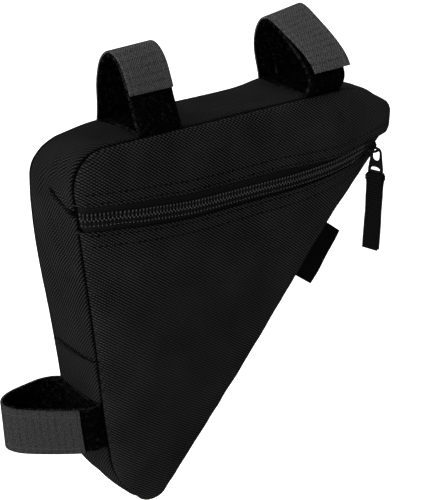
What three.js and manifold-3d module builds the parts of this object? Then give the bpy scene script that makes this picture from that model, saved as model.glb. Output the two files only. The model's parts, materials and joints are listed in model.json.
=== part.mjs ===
import * as THREE from "three";
import { mergeVertices } from "three/addons/utils/BufferGeometryUtils.js";
import Module from "manifold-3d";

// A triangular bicycle frame bag with a zipped front face, held by two hook-and-loop straps round
// the top tube and one round the seat tube. Lengths are in millimetres.
// X runs forward along the top tube, Y from the zipped face to the back face, and Z up.

// Bag body, seen from the side as a triangle whose foot and nose are cut short
const bagLength = 211; // from the seat tube's side to the nose
const bagHeight = 203.5; // from the top edge to the sharp corner of the foot
const gussetWidth = 36; // between the front seam and the rear seam
const clothWall = 1.5;
const seamSink = 2.5; // how deep the seams lie under the gusset
const gussetCrown = 0.8; // how far the middle of the gusset stands out
const frontCrown = 15; // how far the stuffed panels stand out of their seams
const rearCrown = 10;
const pieceGap = 0.3; // between pieces that touch

// Gusset joins, as distances from the ends of the straight sides
const seatJoin = 88; // down the seat side
const noseJoin = 42; // down the sloping side, under the nose

// Zip
const zipDrop = 37; // middle of the zip under the top edge
const zipOpening = 15; // between the two hems at mid length
const zipOpeningAtEnds = 10.8;
const tapeWidth = 28;
const tapeWall = 0.9;
const coilWidth = 6.4; // both halves together
const coilHeight = 2.2;
const sliderSetBack = 27.5; // slider's middle from the nose
const sliderLength = 9.5;
const sliderWidth = 8;
const sliderHeight = 1.2; // over the zip coil
const bridgeRise = 3.4; // top of the slider to the bridge's axis
const bridgeWire = 1.5;
const bridgeSpan = 8;

// Puller and webbing pull, which hang from the bridge
const pullerWall = 1.2;
const pullerEyeWidth = 4.4;
const pullerEyeHeight = 6.4;
const pullerRim = 0.9; // metal round the eye and under the slot
const pullerBar = 3.4; // metal between the eye and the slot
const pullerSlotWidth = 6.2;
const pullerSlotHeight = 3.9;
const pullerFootWidth = 8.8;
const webbingWidth = 9.5;
const webbingWall = 1.1;
const webbingLength = 43.5;

// Straps
const strapWidth = 25;
const pileWall = 1.7; // loop-pile strap, sewn to the front seam
const hookWall = 1.2; // hook strap, sewn to the rear seam and closed over the pile
const rearTopStrapAt = 53; // middles along the top edge
const frontTopStrapAt = 157.5;
const seatStrapAt = 143.5; // middle along the seat edge
const topTubeRadius = 15.9;

// Label sewn into the front seam of the sloping side, bare
const labelAt = 75.5; // middle, from the nose end of the sloping side
const labelLength = 34;
const labelReach = 17;
const labelLean = 3; // how far its outer edge is drawn towards the nose
const labelWall = 0.6;

const colours = {
  cloth: 0x1d1d1e,
  tape: 0x101011,
  coil: 0x2a2a2b,
  metal: 0x18181a,
  webbing: 0x0c0c0d,
  hook: 0x3c3c3d,
  pile: 0x0b0b0c,
  label: 0x070708,
};

const wasm = await Module();
wasm.setup();

const smooth = THREE.MathUtils.smoothstep;
const lerp = THREE.MathUtils.lerp;

const finish = (colour, roughness, metalness = 0) =>
  new THREE.MeshStandardMaterial({ color: colour, roughness, metalness });
const materials = {
  cloth: finish(colours.cloth, 0.85),
  tape: finish(colours.tape, 0.9),
  coil: finish(colours.coil, 0.5),
  metal: finish(colours.metal, 0.35, 0.8),
  webbing: finish(colours.webbing, 0.9),
  hook: finish(colours.hook, 0.8),
  pile: finish(colours.pile, 1),
  label: finish(colours.label, 0.7),
};

// Solids and booleans

const sameVertex = 1e-4;
const shortEdge = 0.04; // left by a cut, and welded shut

// Vertices that share a place are merged, and the triangles that this empties are dropped.
function welded(geometry, tolerance) {
  const merged = mergeVertices(geometry, tolerance);
  const corners = merged.index.array;
  const kept = [];
  for (let i = 0; i < corners.length; i += 3) {
    const [a, b, c] = corners.slice(i, i + 3);
    if (a !== b && b !== c && c !== a) kept.push(a, b, c);
  }
  merged.setIndex(kept);
  return merged;
}

// A closed mesh of triangles, turned to face outwards.
function closedGeometry(triangles) {
  const positions = triangles.flat().flatMap((p) => [p.x, p.y, p.z]);
  const loose = new THREE.BufferGeometry();
  loose.setAttribute("position", new THREE.Float32BufferAttribute(positions, 3));
  const closed = welded(loose, sameVertex);
  if (signedVolume(closed) < 0) closed.setIndex([...closed.index.array].reverse());
  return closed;
}

function signedVolume(geometry) {
  const at = (i) => new THREE.Vector3().fromBufferAttribute(geometry.attributes.position, i);
  const index = geometry.index.array;
  let volume = 0;
  for (let i = 0; i < index.length; i += 3) {
    volume += at(index[i]).dot(at(index[i + 1]).cross(at(index[i + 2]))) / 6;
  }
  return volume;
}

function solidOf(geometry) {
  const bare = geometry.clone();
  bare.deleteAttribute("normal");
  bare.deleteAttribute("uv");
  const merged = mergeVertices(bare, sameVertex);
  return new wasm.Manifold(
    new wasm.Mesh({
      numProp: 3,
      vertProperties: merged.attributes.position.array,
      triVerts: new Uint32Array(merged.index.array),
    }),
  );
}

function geometryOf(solid) {
  const mesh = solid.getMesh();
  const geometry = new THREE.BufferGeometry();
  geometry.setAttribute("position", new THREE.Float32BufferAttribute(mesh.vertProperties, 3));
  geometry.setIndex(new THREE.BufferAttribute(mesh.triVerts, 1));
  return welded(geometry, shortEdge);
}

// A cloth of even wall: two matching grids of points, [row][column], joined round their edges.
// A ring cloth closes on itself along its rows, and its last row may shrink to a point.
function clothSolid(outer, inner, ring = false) {
  const triangles = [];
  const quad = (a, b, c, d) => triangles.push([a, b, c], [a, c, d]);
  const rows = outer.length;
  const columns = outer[0].length;
  const steps = ring ? columns : columns - 1;
  for (let i = 0; i < rows - 1; i++) {
    for (let j = 0; j < steps; j++) {
      const k = (j + 1) % columns;
      quad(outer[i][j], outer[i + 1][j], outer[i + 1][k], outer[i][k]);
      quad(inner[i][j], inner[i][k], inner[i + 1][k], inner[i + 1][j]);
    }
    if (ring) continue;
    const last = columns - 1;
    quad(outer[i][0], inner[i][0], inner[i + 1][0], outer[i + 1][0]);
    quad(outer[i][last], outer[i + 1][last], inner[i + 1][last], inner[i][last]);
  }
  for (let j = 0; j < steps; j++) {
    const k = (j + 1) % columns;
    quad(outer[0][j], outer[0][k], inner[0][k], inner[0][j]);
    quad(outer[rows - 1][j], inner[rows - 1][j], inner[rows - 1][k], outer[rows - 1][k]);
  }
  return closedGeometry(triangles);
}

// Side outline of the bag

// Corners of the outline, in order from the seat tube's top down and round to the top edge.
// along is a share of the bag's length, drop of its height and radius of the gusset's width.
const outlineCorners = [
  { corner: "seatTop", along: 0, drop: 0, radius: 0.5 },
  { corner: "heel", along: 0.08, drop: 0.854, radius: 1.1 },
  { corner: "foot", along: 0.1825, drop: 1, radius: 0.34 },
  { corner: "noseUnder", along: 0.985, drop: 0.14, radius: 0.36 },
  { corner: "noseTip", along: 0.985, drop: 0.068, radius: 0.25 },
  { corner: "noseTop", along: 0.867, drop: 0.0025, radius: 1.67 },
].map((row) => ({
  ...row,
  at: new THREE.Vector2(row.along * bagLength, -row.drop * bagHeight),
  radius: row.radius * gussetWidth,
}));
const cornerAt = (name) => outlineCorners.find((row) => row.corner === name).at;

// Arcs round the corners in order, joined by straight sides.
function roundedPath(corners) {
  const path = new THREE.Path();
  corners.forEach(({ at, radius }, i) => {
    const back = corners.at(i - 1).at.clone().sub(at).normalize();
    const onward = corners[(i + 1) % corners.length].at.clone().sub(at).normalize();
    const half = Math.acos(back.dot(onward)) / 2;
    const centre = at.clone().add(back.clone().add(onward).setLength(radius / Math.sin(half)));
    const start = at.clone().addScaledVector(back, radius / Math.tan(half)).sub(centre);
    const end = at.clone().addScaledVector(onward, radius / Math.tan(half)).sub(centre);
    path.absarc(centre.x, centre.y, radius, start.angle(), end.angle(), false);
  });
  path.closePath();
  return path;
}

const outline = roundedPath(outlineCorners);
const sides = [
  { side: "seatTop", steps: 5 },
  { side: "seat", steps: 9 },
  { side: "heel", steps: 3 },
  { side: "heelToFoot", steps: 2 },
  { side: "foot", steps: 4 },
  { side: "slope", steps: 9 },
  { side: "noseUnder", steps: 3 },
  { side: "nose", steps: 1 },
  { side: "noseTip", steps: 3 },
  { side: "noseFront", steps: 2 },
  { side: "noseTop", steps: 3 },
  { side: "top", steps: 9 },
];
const sideCurve = (side) => outline.curves[sides.findIndex((s) => s.side === side)];
const sideStart = (side) => outline.getCurveLengths().at(sides.findIndex((s) => s.side === side) - 1) ?? 0;
const roundLength = outline.getLength();

// A station is a point of the outline with its outward normal, in the XZ plane, and its
// distance round the outline.
function stationOn(side, share) {
  const curve = sideCurve(side);
  const tangent = curve.getTangentAt(share);
  return {
    at: curve.getPointAt(share),
    out: new THREE.Vector2(tangent.y, -tangent.x),
    round: distanceRound(side, share),
  };
}

function distanceRound(side, share) {
  const before = side === sides[0].side ? 0 : sideStart(side);
  return before + share * sideCurve(side).getLength();
}

const stations = sides.flatMap(({ side, steps }) =>
  Array.from({ length: steps }, (_, k) => stationOn(side, k / steps)),
);

// Soft swellings and dents of the stuffed body, where the filling pushes and the zip, the
// straps and the label pull. along is a share of the side, across of half the gusset's width,
// front negative, and the reaches and the rise are shares of the gusset's width.
const bodyForm = [
  { side: "seatTop", along: 0.3, across: 1.1, reachAlong: 0.55, reachAcross: 0.5, rise: -0.12 },
  { side: "top", along: 0.1, across: 1, reachAlong: 0.45, reachAcross: 0.28, rise: 0.08 },
  { side: "seat", along: 0.26, across: 1, reachAlong: 0.9, reachAcross: 0.45, rise: 0.045 },
  { side: "seat", along: 0.07, across: -0.45, reachAlong: 0.2, reachAcross: 0.22, rise: -0.045 },
  { side: "seat", along: 0.85, across: -1, reachAlong: 0.8, reachAcross: 0.4, rise: 0.03 },
  { side: "slope", along: 0.27, across: 0, reachAlong: 1.4, reachAcross: 2, rise: 0.02 },
  { side: "slope", along: 0.7, across: 0, reachAlong: 1.1, reachAcross: 2, rise: -0.07 },
];

function formRise(station, across) {
  return bodyForm.reduce((sum, form) => {
    const away = Math.abs(station.round - distanceRound(form.side, form.along));
    const along = Math.min(away, roundLength - away) / (form.reachAlong * gussetWidth);
    const aside = (across - form.across) / 2 / form.reachAcross;
    return sum + form.rise * gussetWidth * Math.exp(-along * along - aside * aside);
  }, 0);
}

// Gusset

// Section of the gusset's outer face, from the middle to a seam.
// across is a share of half the gusset's width, drop of the seam's sink and crown of the gusset's.
const gussetSection = [
  { across: 0, drop: 0, crown: 1 },
  { across: 0.4, drop: 0, crown: 1 },
  { across: 0.72, drop: 0.03, crown: 0.5 },
  { across: 0.87, drop: 0.12, crown: 0 },
  { across: 0.95, drop: 0.32, crown: 0 },
  { across: 0.985, drop: 0.6, crown: 0 },
  { across: 1, drop: 1, crown: 0 },
];

const halfWidth = gussetWidth / 2 - pieceGap / 2;

// Height of the gusset's outer face over the outline.
function gussetRise(station, across) {
  const i = Math.max(1, gussetSection.findIndex((row) => row.across >= Math.min(Math.abs(across), 1)));
  const [before, after] = [gussetSection[i - 1], gussetSection[i]];
  const share = (Math.min(Math.abs(across), 1) - before.across) / (after.across - before.across);
  const crown = lerp(before.crown, after.crown, share) * gussetCrown;
  const drop = lerp(before.drop, after.drop, share) * seamSink;
  return crown - drop + formRise(station, across);
}

// Points of the gusset across one station, from the front seam to the rear, at a depth in its wall.
function gussetRow(station, depth) {
  const half = gussetSection.map((row) => row.across);
  const full = [...half.slice(1).reverse().map((across) => -across), ...half];
  return full.map((across) => {
    const seamward = smooth(Math.abs(across), 0.8, 1);
    const out = gussetRise(station, across) - depth;
    const y = across * (halfWidth - (Math.abs(across) < 1 ? depth * seamward : 0));
    return new THREE.Vector3(station.at.x + station.out.x * out, y, station.at.y + station.out.y * out);
  });
}

function gussetStrip(run) {
  return clothSolid(
    run.map((station) => gussetRow(station, 0)),
    run.map((station) => gussetRow(station, clothWall)),
  );
}

// The two lengths of the gusset meet face to face at the seat join and the nose join.
const seatLength = sideCurve("seat").getLength();
const slopeLength = sideCurve("slope").getLength();
const seatJoins = [seatJoin, seatJoin + pieceGap].map((d) => stationOn("seat", d / seatLength));
const noseJoins = [noseJoin + pieceGap, noseJoin].map((d) => stationOn("slope", 1 - d / slopeLength));

function gussetUpper() {
  const [start, end] = [noseJoins[1], seatJoins[0]];
  const overNose = stations.filter((s) => s.round > start.round);
  const downSeat = stations.filter((s) => s.round < end.round);
  return gussetStrip([start, ...overNose, ...downSeat, end]);
}

function gussetLower() {
  const [start, end] = [seatJoins[1], noseJoins[0]];
  const between = stations.filter((s) => s.round > start.round && s.round < end.round);
  return gussetStrip([start, ...between, end]);
}

// Panels

// Rings of a stuffed panel from its seam to its middle: the lip rolls out over the seam first.
// inset is a share of the seam's sink, toMiddle of the way from the lip to the middle, and
// rise a share of the panel's crown.
const panelRings = [
  { inset: 1, toMiddle: 0, rise: 0 },
  { inset: 0.32, toMiddle: 0, rise: 0.07 },
  { inset: 0.25, toMiddle: 0, rise: 0.16 },
  { inset: 0.6, toMiddle: 0, rise: 0.28 },
  { inset: 1.7, toMiddle: 0, rise: 0.41 },
  { inset: 3.2, toMiddle: 0, rise: 0.53 },
  { inset: 3.2, toMiddle: 0.09, rise: 0.67 },
  { inset: 3.2, toMiddle: 0.26, rise: 0.84 },
  { inset: 3.2, toMiddle: 0.55, rise: 0.96 },
  { inset: 3.2, toMiddle: 1, rise: 1 },
];

const panelMiddle = new THREE.Vector2();
for (const name of ["seatTop", "foot", "noseTop"]) panelMiddle.addScaledVector(cornerAt(name), 1 / 3);
const meanRadius = stations.reduce((sum, s) => sum + s.at.distanceTo(panelMiddle), 0) / stations.length;

// The ring section with a depth taken off its face; the first ring stays in the seam's plane.
function ringSection(crown, depth) {
  const line = panelRings.map(({ inset, toMiddle, rise }) => ({
    toMiddle,
    inset: inset * seamSink,
    reach: inset * seamSink + toMiddle * meanRadius,
    rise: rise * crown,
  }));
  return line.map((ring, i) => {
    if (i === 0) return { ...ring, inset: ring.inset + depth };
    const before = line[i - 1];
    const after = line[Math.min(i + 1, line.length - 1)];
    const run = new THREE.Vector2(after.reach - before.reach, after.rise - before.rise).normalize();
    return { ...ring, inset: ring.inset + run.y * depth, rise: ring.rise - run.x * depth };
  });
}

// A point of the outline moved in by an inset, on the front face (-1) or the rear one (1).
const seamPoint = (station, face, inset) =>
  station.at.clone().addScaledVector(station.out, formRise(station, face) - inset);

// One face of a panel as a grid of rings.
function panelGrid(face, crown, depth) {
  return ringSection(crown, depth).map(({ inset, toMiddle, rise }) =>
    stations.map((station) => {
      const at = seamPoint(station, face, inset).lerp(panelMiddle, toMiddle);
      return new THREE.Vector3(at.x, face * (gussetWidth / 2 + pieceGap / 2 + rise), at.y);
    }),
  );
}

const panelLayer = (face, crown, top, bottom) =>
  clothSolid(panelGrid(face, crown, top), panelGrid(face, crown, bottom), true);

// Zip and the front panel that it parts

const zipSteps = 23;

// The line of the zip, which sags under the filling: along is a share of the bag's length and
// drop of the zip's.
const zipLine = new THREE.SplineCurve(
  [
    { along: -0.2, drop: 0.86 },
    { along: 0.05, drop: 0.845 },
    { along: 0.16, drop: 0.885 },
    { along: 0.3, drop: 0.965 },
    { along: 0.5, drop: 1 },
    { along: 0.7, drop: 1.01 },
    { along: 0.85, drop: 0.92 },
    { along: 0.92, drop: 0.875 },
    { along: 1.2, drop: 0.8 },
  ].map(({ along, drop }) => new THREE.Vector2(along * bagLength, -drop * zipDrop)),
);
const zipRun = zipLine.getPoints(zipSteps);

function zipHeight(x) {
  const i = zipRun.findIndex((p) => p.x > x);
  const [before, after] = [zipRun[i - 1], zipRun[i]];
  return lerp(before.y, after.y, (x - before.x) / (after.x - before.x));
}

// Everything in front of the gusset's middle between two offsets from the zip's line.
function zipBand(low, high) {
  const lower = zipRun.map((p) => new THREE.Vector2(p.x, p.y + low(p.x)));
  const upper = zipRun.map((p) => new THREE.Vector2(p.x, p.y + high(p.x)));
  const shape = new THREE.Shape([...lower, ...upper.reverse()]);
  const band = new THREE.ExtrudeGeometry(shape, { depth: gussetWidth + frontCrown, bevelEnabled: false });
  band.rotateX(Math.PI / 2);
  return solidOf(band);
}

const farUp = () => bagLength;
const farDown = () => -2 * bagHeight;
const constant = (value) => () => value;
const openingAt = (x) => {
  const swell = Math.sin(Math.PI * THREE.MathUtils.clamp(x / bagLength, 0, 1));
  return lerp(zipOpeningAtEnds, zipOpening, swell);
};

const frontPanel = solidOf(panelLayer(-1, frontCrown, 0, clothWall));
const frontUpper = geometryOf(frontPanel.intersect(zipBand((x) => openingAt(x) / 2, farUp)));
const frontLower = geometryOf(frontPanel.intersect(zipBand(farDown, (x) => -openingAt(x) / 2)));
const rearPanel = panelLayer(1, rearCrown, 0, clothWall);

// The tapes lie behind the hems, and each carries half of the coil. Both end short of the seams.
const withinSeams = (() => {
  const shape = new THREE.Shape(stations.map((station) => seamPoint(station, -1, clothWall)));
  const prism = new THREE.ExtrudeGeometry(shape, { depth: gussetWidth + frontCrown, bevelEnabled: false });
  prism.rotateX(Math.PI / 2);
  return solidOf(prism);
})();
const tapeTop = clothWall + pieceGap;
const coilBottom = tapeTop - pieceGap;
const tapeLayer = solidOf(panelLayer(-1, frontCrown, tapeTop, tapeTop + tapeWall)).intersect(withinSeams);
const coilSurface = panelLayer(-1, frontCrown, coilBottom - coilHeight, coilBottom);
const coilLayer = solidOf(coilSurface).intersect(withinSeams);
const largest = (solid) => solid.decompose().sort((a, b) => b.volume() - a.volume())[0];

function zipHalf(layer, width, up) {
  const inner = up * (pieceGap / 2);
  const outer = up * (width / 2);
  const [low, high] = up > 0 ? [inner, outer] : [outer, inner];
  return geometryOf(largest(layer.intersect(zipBand(constant(low), constant(high)))));
}

// Slider: a rounded block over the coil with a wire bridge, cut clear of the tape and coil.
// It lies on the coil's face, and its bridge is level.

const sliderX = bagLength - sliderSetBack;
const coilFace = new THREE.Mesh(coilSurface, new THREE.MeshBasicMaterial({ side: THREE.DoubleSide }));
function onCoil(x, lift) {
  const from = new THREE.Vector3(x, -5 * gussetWidth, zipHeight(x) + lift);
  return new THREE.Raycaster(from, new THREE.Vector3(0, 1, 0)).intersectObject(coilFace)[0].point;
}
const sliderSeat = onCoil(sliderX, 0);
const alongCoil = onCoil(sliderX + sliderLength / 2, 0).sub(onCoil(sliderX - sliderLength / 2, 0));
const upCoil = onCoil(sliderX, coilWidth / 2).sub(onCoil(sliderX, -coilWidth / 2));
const sliderTurn = Math.atan2(alongCoil.y, alongCoil.x);
const outwards = new THREE.Vector3(Math.sin(sliderTurn), -Math.cos(sliderTurn), 0);
const sliderPitch = Math.atan2(upCoil.dot(outwards), upCoil.z);
const sliderPlace = new THREE.Matrix4()
  .makeTranslation(sliderSeat)
  .multiply(new THREE.Matrix4().makeRotationZ(sliderTurn))
  .multiply(new THREE.Matrix4().makeRotationX(sliderPitch));
const bridgePoint = new THREE.Vector3(0, -(sliderHeight + bridgeRise), 0).applyMatrix4(sliderPlace);

function sliderBody() {
  const run = (sliderLength - sliderWidth) / 2;
  const shape = new THREE.Shape();
  shape.absarc(run, 0, sliderWidth / 2, -Math.PI / 2, Math.PI / 2, false);
  shape.absarc(-run, 0, sliderWidth / 2, Math.PI / 2, (3 * Math.PI) / 2, false);
  const depth = sliderHeight + coilHeight + tapeWall;
  const body = new THREE.ExtrudeGeometry(shape, { depth, bevelEnabled: false, curveSegments: 7 });
  body.rotateX(-Math.PI / 2);
  body.translate(0, -sliderHeight, 0);
  return solidOf(body.applyMatrix4(sliderPlace));
}

function bridgeSolid() {
  const rise = bridgeRise + 0.4 * sliderHeight;
  const half = (bridgeSpan - bridgeWire) / 2;
  const arch = new THREE.CatmullRomCurve3(
    [
      { along: -1, rise: 0 },
      { along: -0.95, rise: 0.6 },
      { along: -0.65, rise: 0.95 },
      { along: 0, rise: 1 },
      { along: 0.65, rise: 0.95 },
      { along: 0.95, rise: 0.6 },
      { along: 1, rise: 0 },
    ].map((row) => new THREE.Vector3(row.along * half, -row.rise * rise, 0)),
  );
  const section = new THREE.Shape();
  section.absarc(0, 0, bridgeWire / 2, 0, 2 * Math.PI, false);
  const wire = new THREE.ExtrudeGeometry(section, { extrudePath: arch, steps: 16, curveSegments: 4 });
  wire.translate(0, rise - sliderHeight - bridgeRise, 0);
  return solidOf(wire.applyMatrix4(sliderPlace));
}

function sliderGeometry() {
  const roomFoot = tapeTop + 3 * tapeWall;
  const overCoil = panelLayer(-1, frontCrown, coilBottom - coilHeight - pieceGap, roomFoot);
  const overTape = panelLayer(-1, frontCrown, tapeTop - pieceGap, roomFoot);
  const half = coilWidth / 2 + pieceGap;
  const channel = solidOf(overCoil).intersect(zipBand(constant(-half), constant(half)));
  const body = sliderBody().subtract(channel).subtract(solidOf(overTape));
  return geometryOf(largest(body.add(bridgeSolid())));
}

// Puller: a flat link hanging in the YZ plane from the bridge, drawn with the hinge at its origin

const eyeRadius = pullerEyeWidth / 2;
const eyeTop = bridgeWire / 2 + pieceGap;
const eyeFoot = eyeTop - pullerEyeHeight;
const slotTop = eyeFoot - pullerBar;
const slotFoot = slotTop - pullerSlotHeight;
const pullerFoot = slotFoot - 2 * pullerRim;

function pullerGeometry() {
  const link = new THREE.Shape();
  const outer = eyeRadius + pullerRim;
  const footHalf = pullerFootWidth / 2;
  link.absarc(0, eyeTop - eyeRadius, outer, 0, Math.PI, false);
  link.lineTo(-footHalf, slotTop - pullerRim);
  link.lineTo(-footHalf, pullerFoot + pullerRim);
  link.quadraticCurveTo(-footHalf, pullerFoot, -footHalf + pullerRim, pullerFoot);
  link.lineTo(footHalf - pullerRim, pullerFoot);
  link.quadraticCurveTo(footHalf, pullerFoot, footHalf, pullerFoot + pullerRim);
  link.lineTo(footHalf, slotTop - pullerRim);
  const eye = new THREE.Path();
  eye.absarc(0, eyeTop - eyeRadius, eyeRadius, 0, Math.PI, false);
  eye.absarc(0, eyeFoot + eyeRadius, eyeRadius, Math.PI, 2 * Math.PI, false);
  const slotHalf = pullerSlotWidth / 2;
  const slot = new THREE.Path();
  slot.moveTo(-slotHalf, slotFoot);
  slot.lineTo(slotHalf, slotFoot);
  slot.lineTo(slotHalf, slotTop - slotHalf * 0.7);
  slot.quadraticCurveTo(slotHalf, slotTop, 0, slotTop);
  slot.quadraticCurveTo(-slotHalf, slotTop, -slotHalf, slotTop - slotHalf * 0.7);
  link.holes.push(eye, slot);
  const plate = new THREE.ExtrudeGeometry(link, { depth: pullerWall, bevelEnabled: false, curveSegments: 8 });
  plate.translate(0, 0, -pullerWall / 2);
  plate.rotateX(Math.PI / 2);
  plate.rotateZ(Math.PI / 2);
  return plate;
}

// Webbing: one band doubled through the slot and hanging down on both sides of the puller
function webbingGeometry() {
  const clear = pullerWall / 2 + pieceGap + webbingWall / 2;
  const together = webbingWall / 2 + pieceGap / 2;
  const overRim = slotFoot + pieceGap + webbingWall / 2;
  const foot = pullerFoot - webbingLength + 2 * pullerRim;
  const throat = pullerSlotWidth - 2 * pieceGap;
  const side = [
    { x: together, z: foot, width: webbingWidth },
    { x: together, z: lerp(pullerFoot, foot, 0.5), width: webbingWidth * 0.97 },
    { x: together, z: pullerFoot - 3 * pullerRim, width: webbingWidth },
    { x: clear, z: pullerFoot - pullerRim, width: webbingWidth },
    { x: clear, z: slotFoot - 0.4 * pullerRim, width: webbingWidth * 0.92 },
    { x: clear * 0.75, z: overRim - 0.05 * pullerRim, width: throat },
  ];
  const line = [
    ...side.map((row) => ({ ...row, x: -row.x })),
    { x: 0, z: overRim + 0.2 * pullerRim, width: throat },
    ...side.reverse(),
  ];
  const grid = (offset) =>
    line.map((row, i) => {
      const before = line[Math.max(i - 1, 0)];
      const after = line[Math.min(i + 1, line.length - 1)];
      const run = new THREE.Vector2(after.x - before.x, after.z - before.z).normalize();
      return [-0.5, 0.5].map(
        (share) => new THREE.Vector3(row.x - run.y * offset, share * row.width, row.z + run.x * offset),
      );
    });
  return clothSolid(grid(webbingWall / 2), grid(-webbingWall / 2));
}

// Straps

// The line that a closed strap takes round the tube, from the front seam over to the rear seam.
// across is a share of the gusset's width, front negative, and height a share of the loop's.
const rearTopLoop = {
  height: 34,
  pileEnd: 0.62,
  hookEnd: 0.235,
  flare: 0,
  lean: 0.04,
  climb: 0,
  line: [
    { across: -0.455, height: 0 },
    { across: -0.36, height: 0.22 },
    { across: -0.25, height: 0.5 },
    { across: -0.1, height: 0.83 },
    { across: 0.09, height: 0.97 },
    { across: 0.26, height: 0.86 },
    { across: 0.36, height: 0.55 },
    { across: 0.4, height: 0.25 },
    { across: 0.44, height: 0 },
  ],
};
const frontTopLoop = {
  height: 36,
  pileEnd: 0.7,
  hookEnd: 0.135,
  flare: 4,
  lean: 0.11,
  climb: 0,
  line: [
    { across: -0.455, height: 0 },
    { across: -0.53, height: 0.13 },
    { across: -0.55, height: 0.26 },
    { across: -0.44, height: 0.44 },
    { across: -0.15, height: 0.7 },
    { across: 0.2, height: 0.92 },
    { across: 0.38, height: 0.95 },
    { across: 0.49, height: 0.75 },
    { across: 0.5, height: 0.4 },
    { across: 0.44, height: 0 },
  ],
};
const seatLoop = {
  height: 36,
  pileEnd: 0.78,
  hookEnd: 0.12,
  flare: 0,
  lean: -0.05,
  climb: 0.06,
  line: [
    { across: -0.455, height: 0 },
    { across: -0.42, height: 0.18 },
    { across: -0.2, height: 0.46 },
    { across: 0.02, height: 0.69 },
    { across: 0.25, height: 0.88 },
    { across: 0.45, height: 0.93 },
    { across: 0.57, height: 0.8 },
    { across: 0.6, height: 0.5 },
    { across: 0.58, height: 0.15 },
    { across: 0.46, height: 0 },
  ],
};

const straps = [
  { name: "top_strap_rear", loop: rearTopLoop, side: "top", at: rearTopStrapAt, along: 1 },
  { name: "top_strap_front", loop: frontTopLoop, side: "top", at: frontTopStrapAt, along: 1 },
  { name: "seat_strap", loop: seatLoop, side: "seat", at: seatStrapAt, along: -1 },
];

// The station at a distance along a side from the sharp corner at the seat tube's top.
function stationFromCorner(side, distance) {
  const [start, end] = [0, 1].map((t) => cornerAt("seatTop").distanceTo(sideCurve(side).getPoint(t)));
  return stationOn(side, (distance - start) / (end - start));
}

// Both bands of a strap share their sections, so that their flats lie on each other.
const strapSteps = 34;
const stepGap = 0.3 / strapSteps;

// Shares of a strap's width at which it is seated on the gusset
const widthSamples = [-0.5, -0.25, 0, 0.25, 0.5];

// A band along part of a strap's line, lifted off it; lift may change along the band.
// Its seams sit on the gusset, and its top keeps the loop's height over the outline.
function bandGeometry({ loop, side, at: middle, along }, from, to, wall, lift) {
  const line = new THREE.SplineCurve(
    loop.line.map((p) => new THREE.Vector2(p.across * gussetWidth, p.height * loop.height)),
  );
  const footStations = widthSamples.map((w) => stationFromCorner(side, middle + along * w * strapWidth));
  const groundAt = (y) => Math.max(...footStations.map((station) => gussetRise(station, y / halfWidth)));
  const foot = (u, thickness) => {
    const y = line.getPointAt(u).x;
    return Math.max(groundAt(y), groundAt(y + Math.sign(y) * thickness)) + pieceGap;
  };
  const [frontFoot, rearFoot] = [foot(0, pileWall), foot(1, hookWall)];
  const shared = Array.from({ length: strapSteps + 1 }, (_, i) => i / strapSteps);
  const rows = [from, ...shared.filter((u) => u > from + stepGap && u < to - stepGap), to];
  const grid = (extra) =>
    rows.map((u) => {
      const run = line.getTangentAt(u);
      const at = line.getPointAt(u).add(new THREE.Vector2(-run.y, run.x).multiplyScalar(lift(u) + extra));
      const ground = lerp(frontFoot, rearFoot, smooth(u, 0.3, 0.7));
      const share = Math.max(at.y / loop.height, 0);
      return [-0.5, 0.5].map((edge) => {
        const x = (edge + loop.climb * smooth(share, 0, 1)) * strapWidth;
        const top = loop.height * (1 + loop.lean * edge * smooth(share, 0, 1));
        return new THREE.Vector3(x, at.x, ground + share * (top - ground));
      });
    });
  return clothSolid(grid(wall), grid(0));
}

const pileGeometry = (strap) => bandGeometry(strap, 0, strap.loop.pileEnd, pileWall, () => 0);

function hookGeometry(strap) {
  const { pileEnd, hookEnd, flare } = strap.loop;
  const overPile = pileWall + pieceGap;
  const lift = (u) =>
    overPile * (1 - smooth(u, pileEnd + 0.06, 0.97)) + flare * (1 - smooth(u, hookEnd, hookEnd + 0.22));
  return bandGeometry(strap, hookEnd, 1, hookWall, lift);
}

// Label, standing out of the front seam of the sloping side
function labelGeometry() {
  const half = labelLength / 2;
  const shape = new THREE.Shape();
  shape.moveTo(-half, 0);
  shape.lineTo(half, 0);
  shape.lineTo(half - labelLean, labelReach);
  shape.lineTo(-half - labelLean, labelReach);
  const tab = new THREE.ExtrudeGeometry(shape, { depth: labelWall, bevelEnabled: false });
  tab.translate(0, 0, -labelWall / 2);
  tab.rotateX(Math.PI / 2);
  return tab;
}

// Assembly

const bag = new THREE.Group();
const add = (parent, name, geometry, material) => {
  const mesh = new THREE.Mesh(geometry, material);
  mesh.name = name;
  parent.add(mesh);
  return mesh;
};

add(bag, "gusset_upper", gussetUpper(), materials.cloth);
add(bag, "gusset_lower", gussetLower(), materials.cloth);
add(bag, "front_panel_upper", frontUpper, materials.cloth);
add(bag, "front_panel_lower", frontLower, materials.cloth);
add(bag, "rear_panel", rearPanel, materials.cloth);
for (const [half, up] of [["upper", 1], ["lower", -1]]) {
  add(bag, `zip_tape_${half}`, zipHalf(tapeLayer, tapeWidth, up), materials.tape);
  add(bag, `zip_coil_${half}`, zipHalf(coilLayer, coilWidth, up), materials.coil);
}
add(bag, "zip_slider", sliderGeometry(), materials.metal);

const pull = new THREE.Group();
pull.position.copy(bridgePoint);
pull.rotation.z = sliderTurn;
add(pull, "zip_puller", pullerGeometry(), materials.metal);
add(pull, "pull_webbing", webbingGeometry(), materials.webbing);
bag.add(pull);

for (const strapRow of straps) {
  const { name, side, at } = strapRow;
  const { at: place, out } = stationFromCorner(side, at);
  const strap = new THREE.Group();
  strap.position.set(place.x, 0, place.y);
  strap.rotation.y = Math.atan2(out.x, out.y);
  add(strap, `${name}_hook`, hookGeometry(strapRow), materials.hook);
  add(strap, `${name}_pile`, pileGeometry(strapRow), materials.pile);
  bag.add(strap);
}

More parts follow.
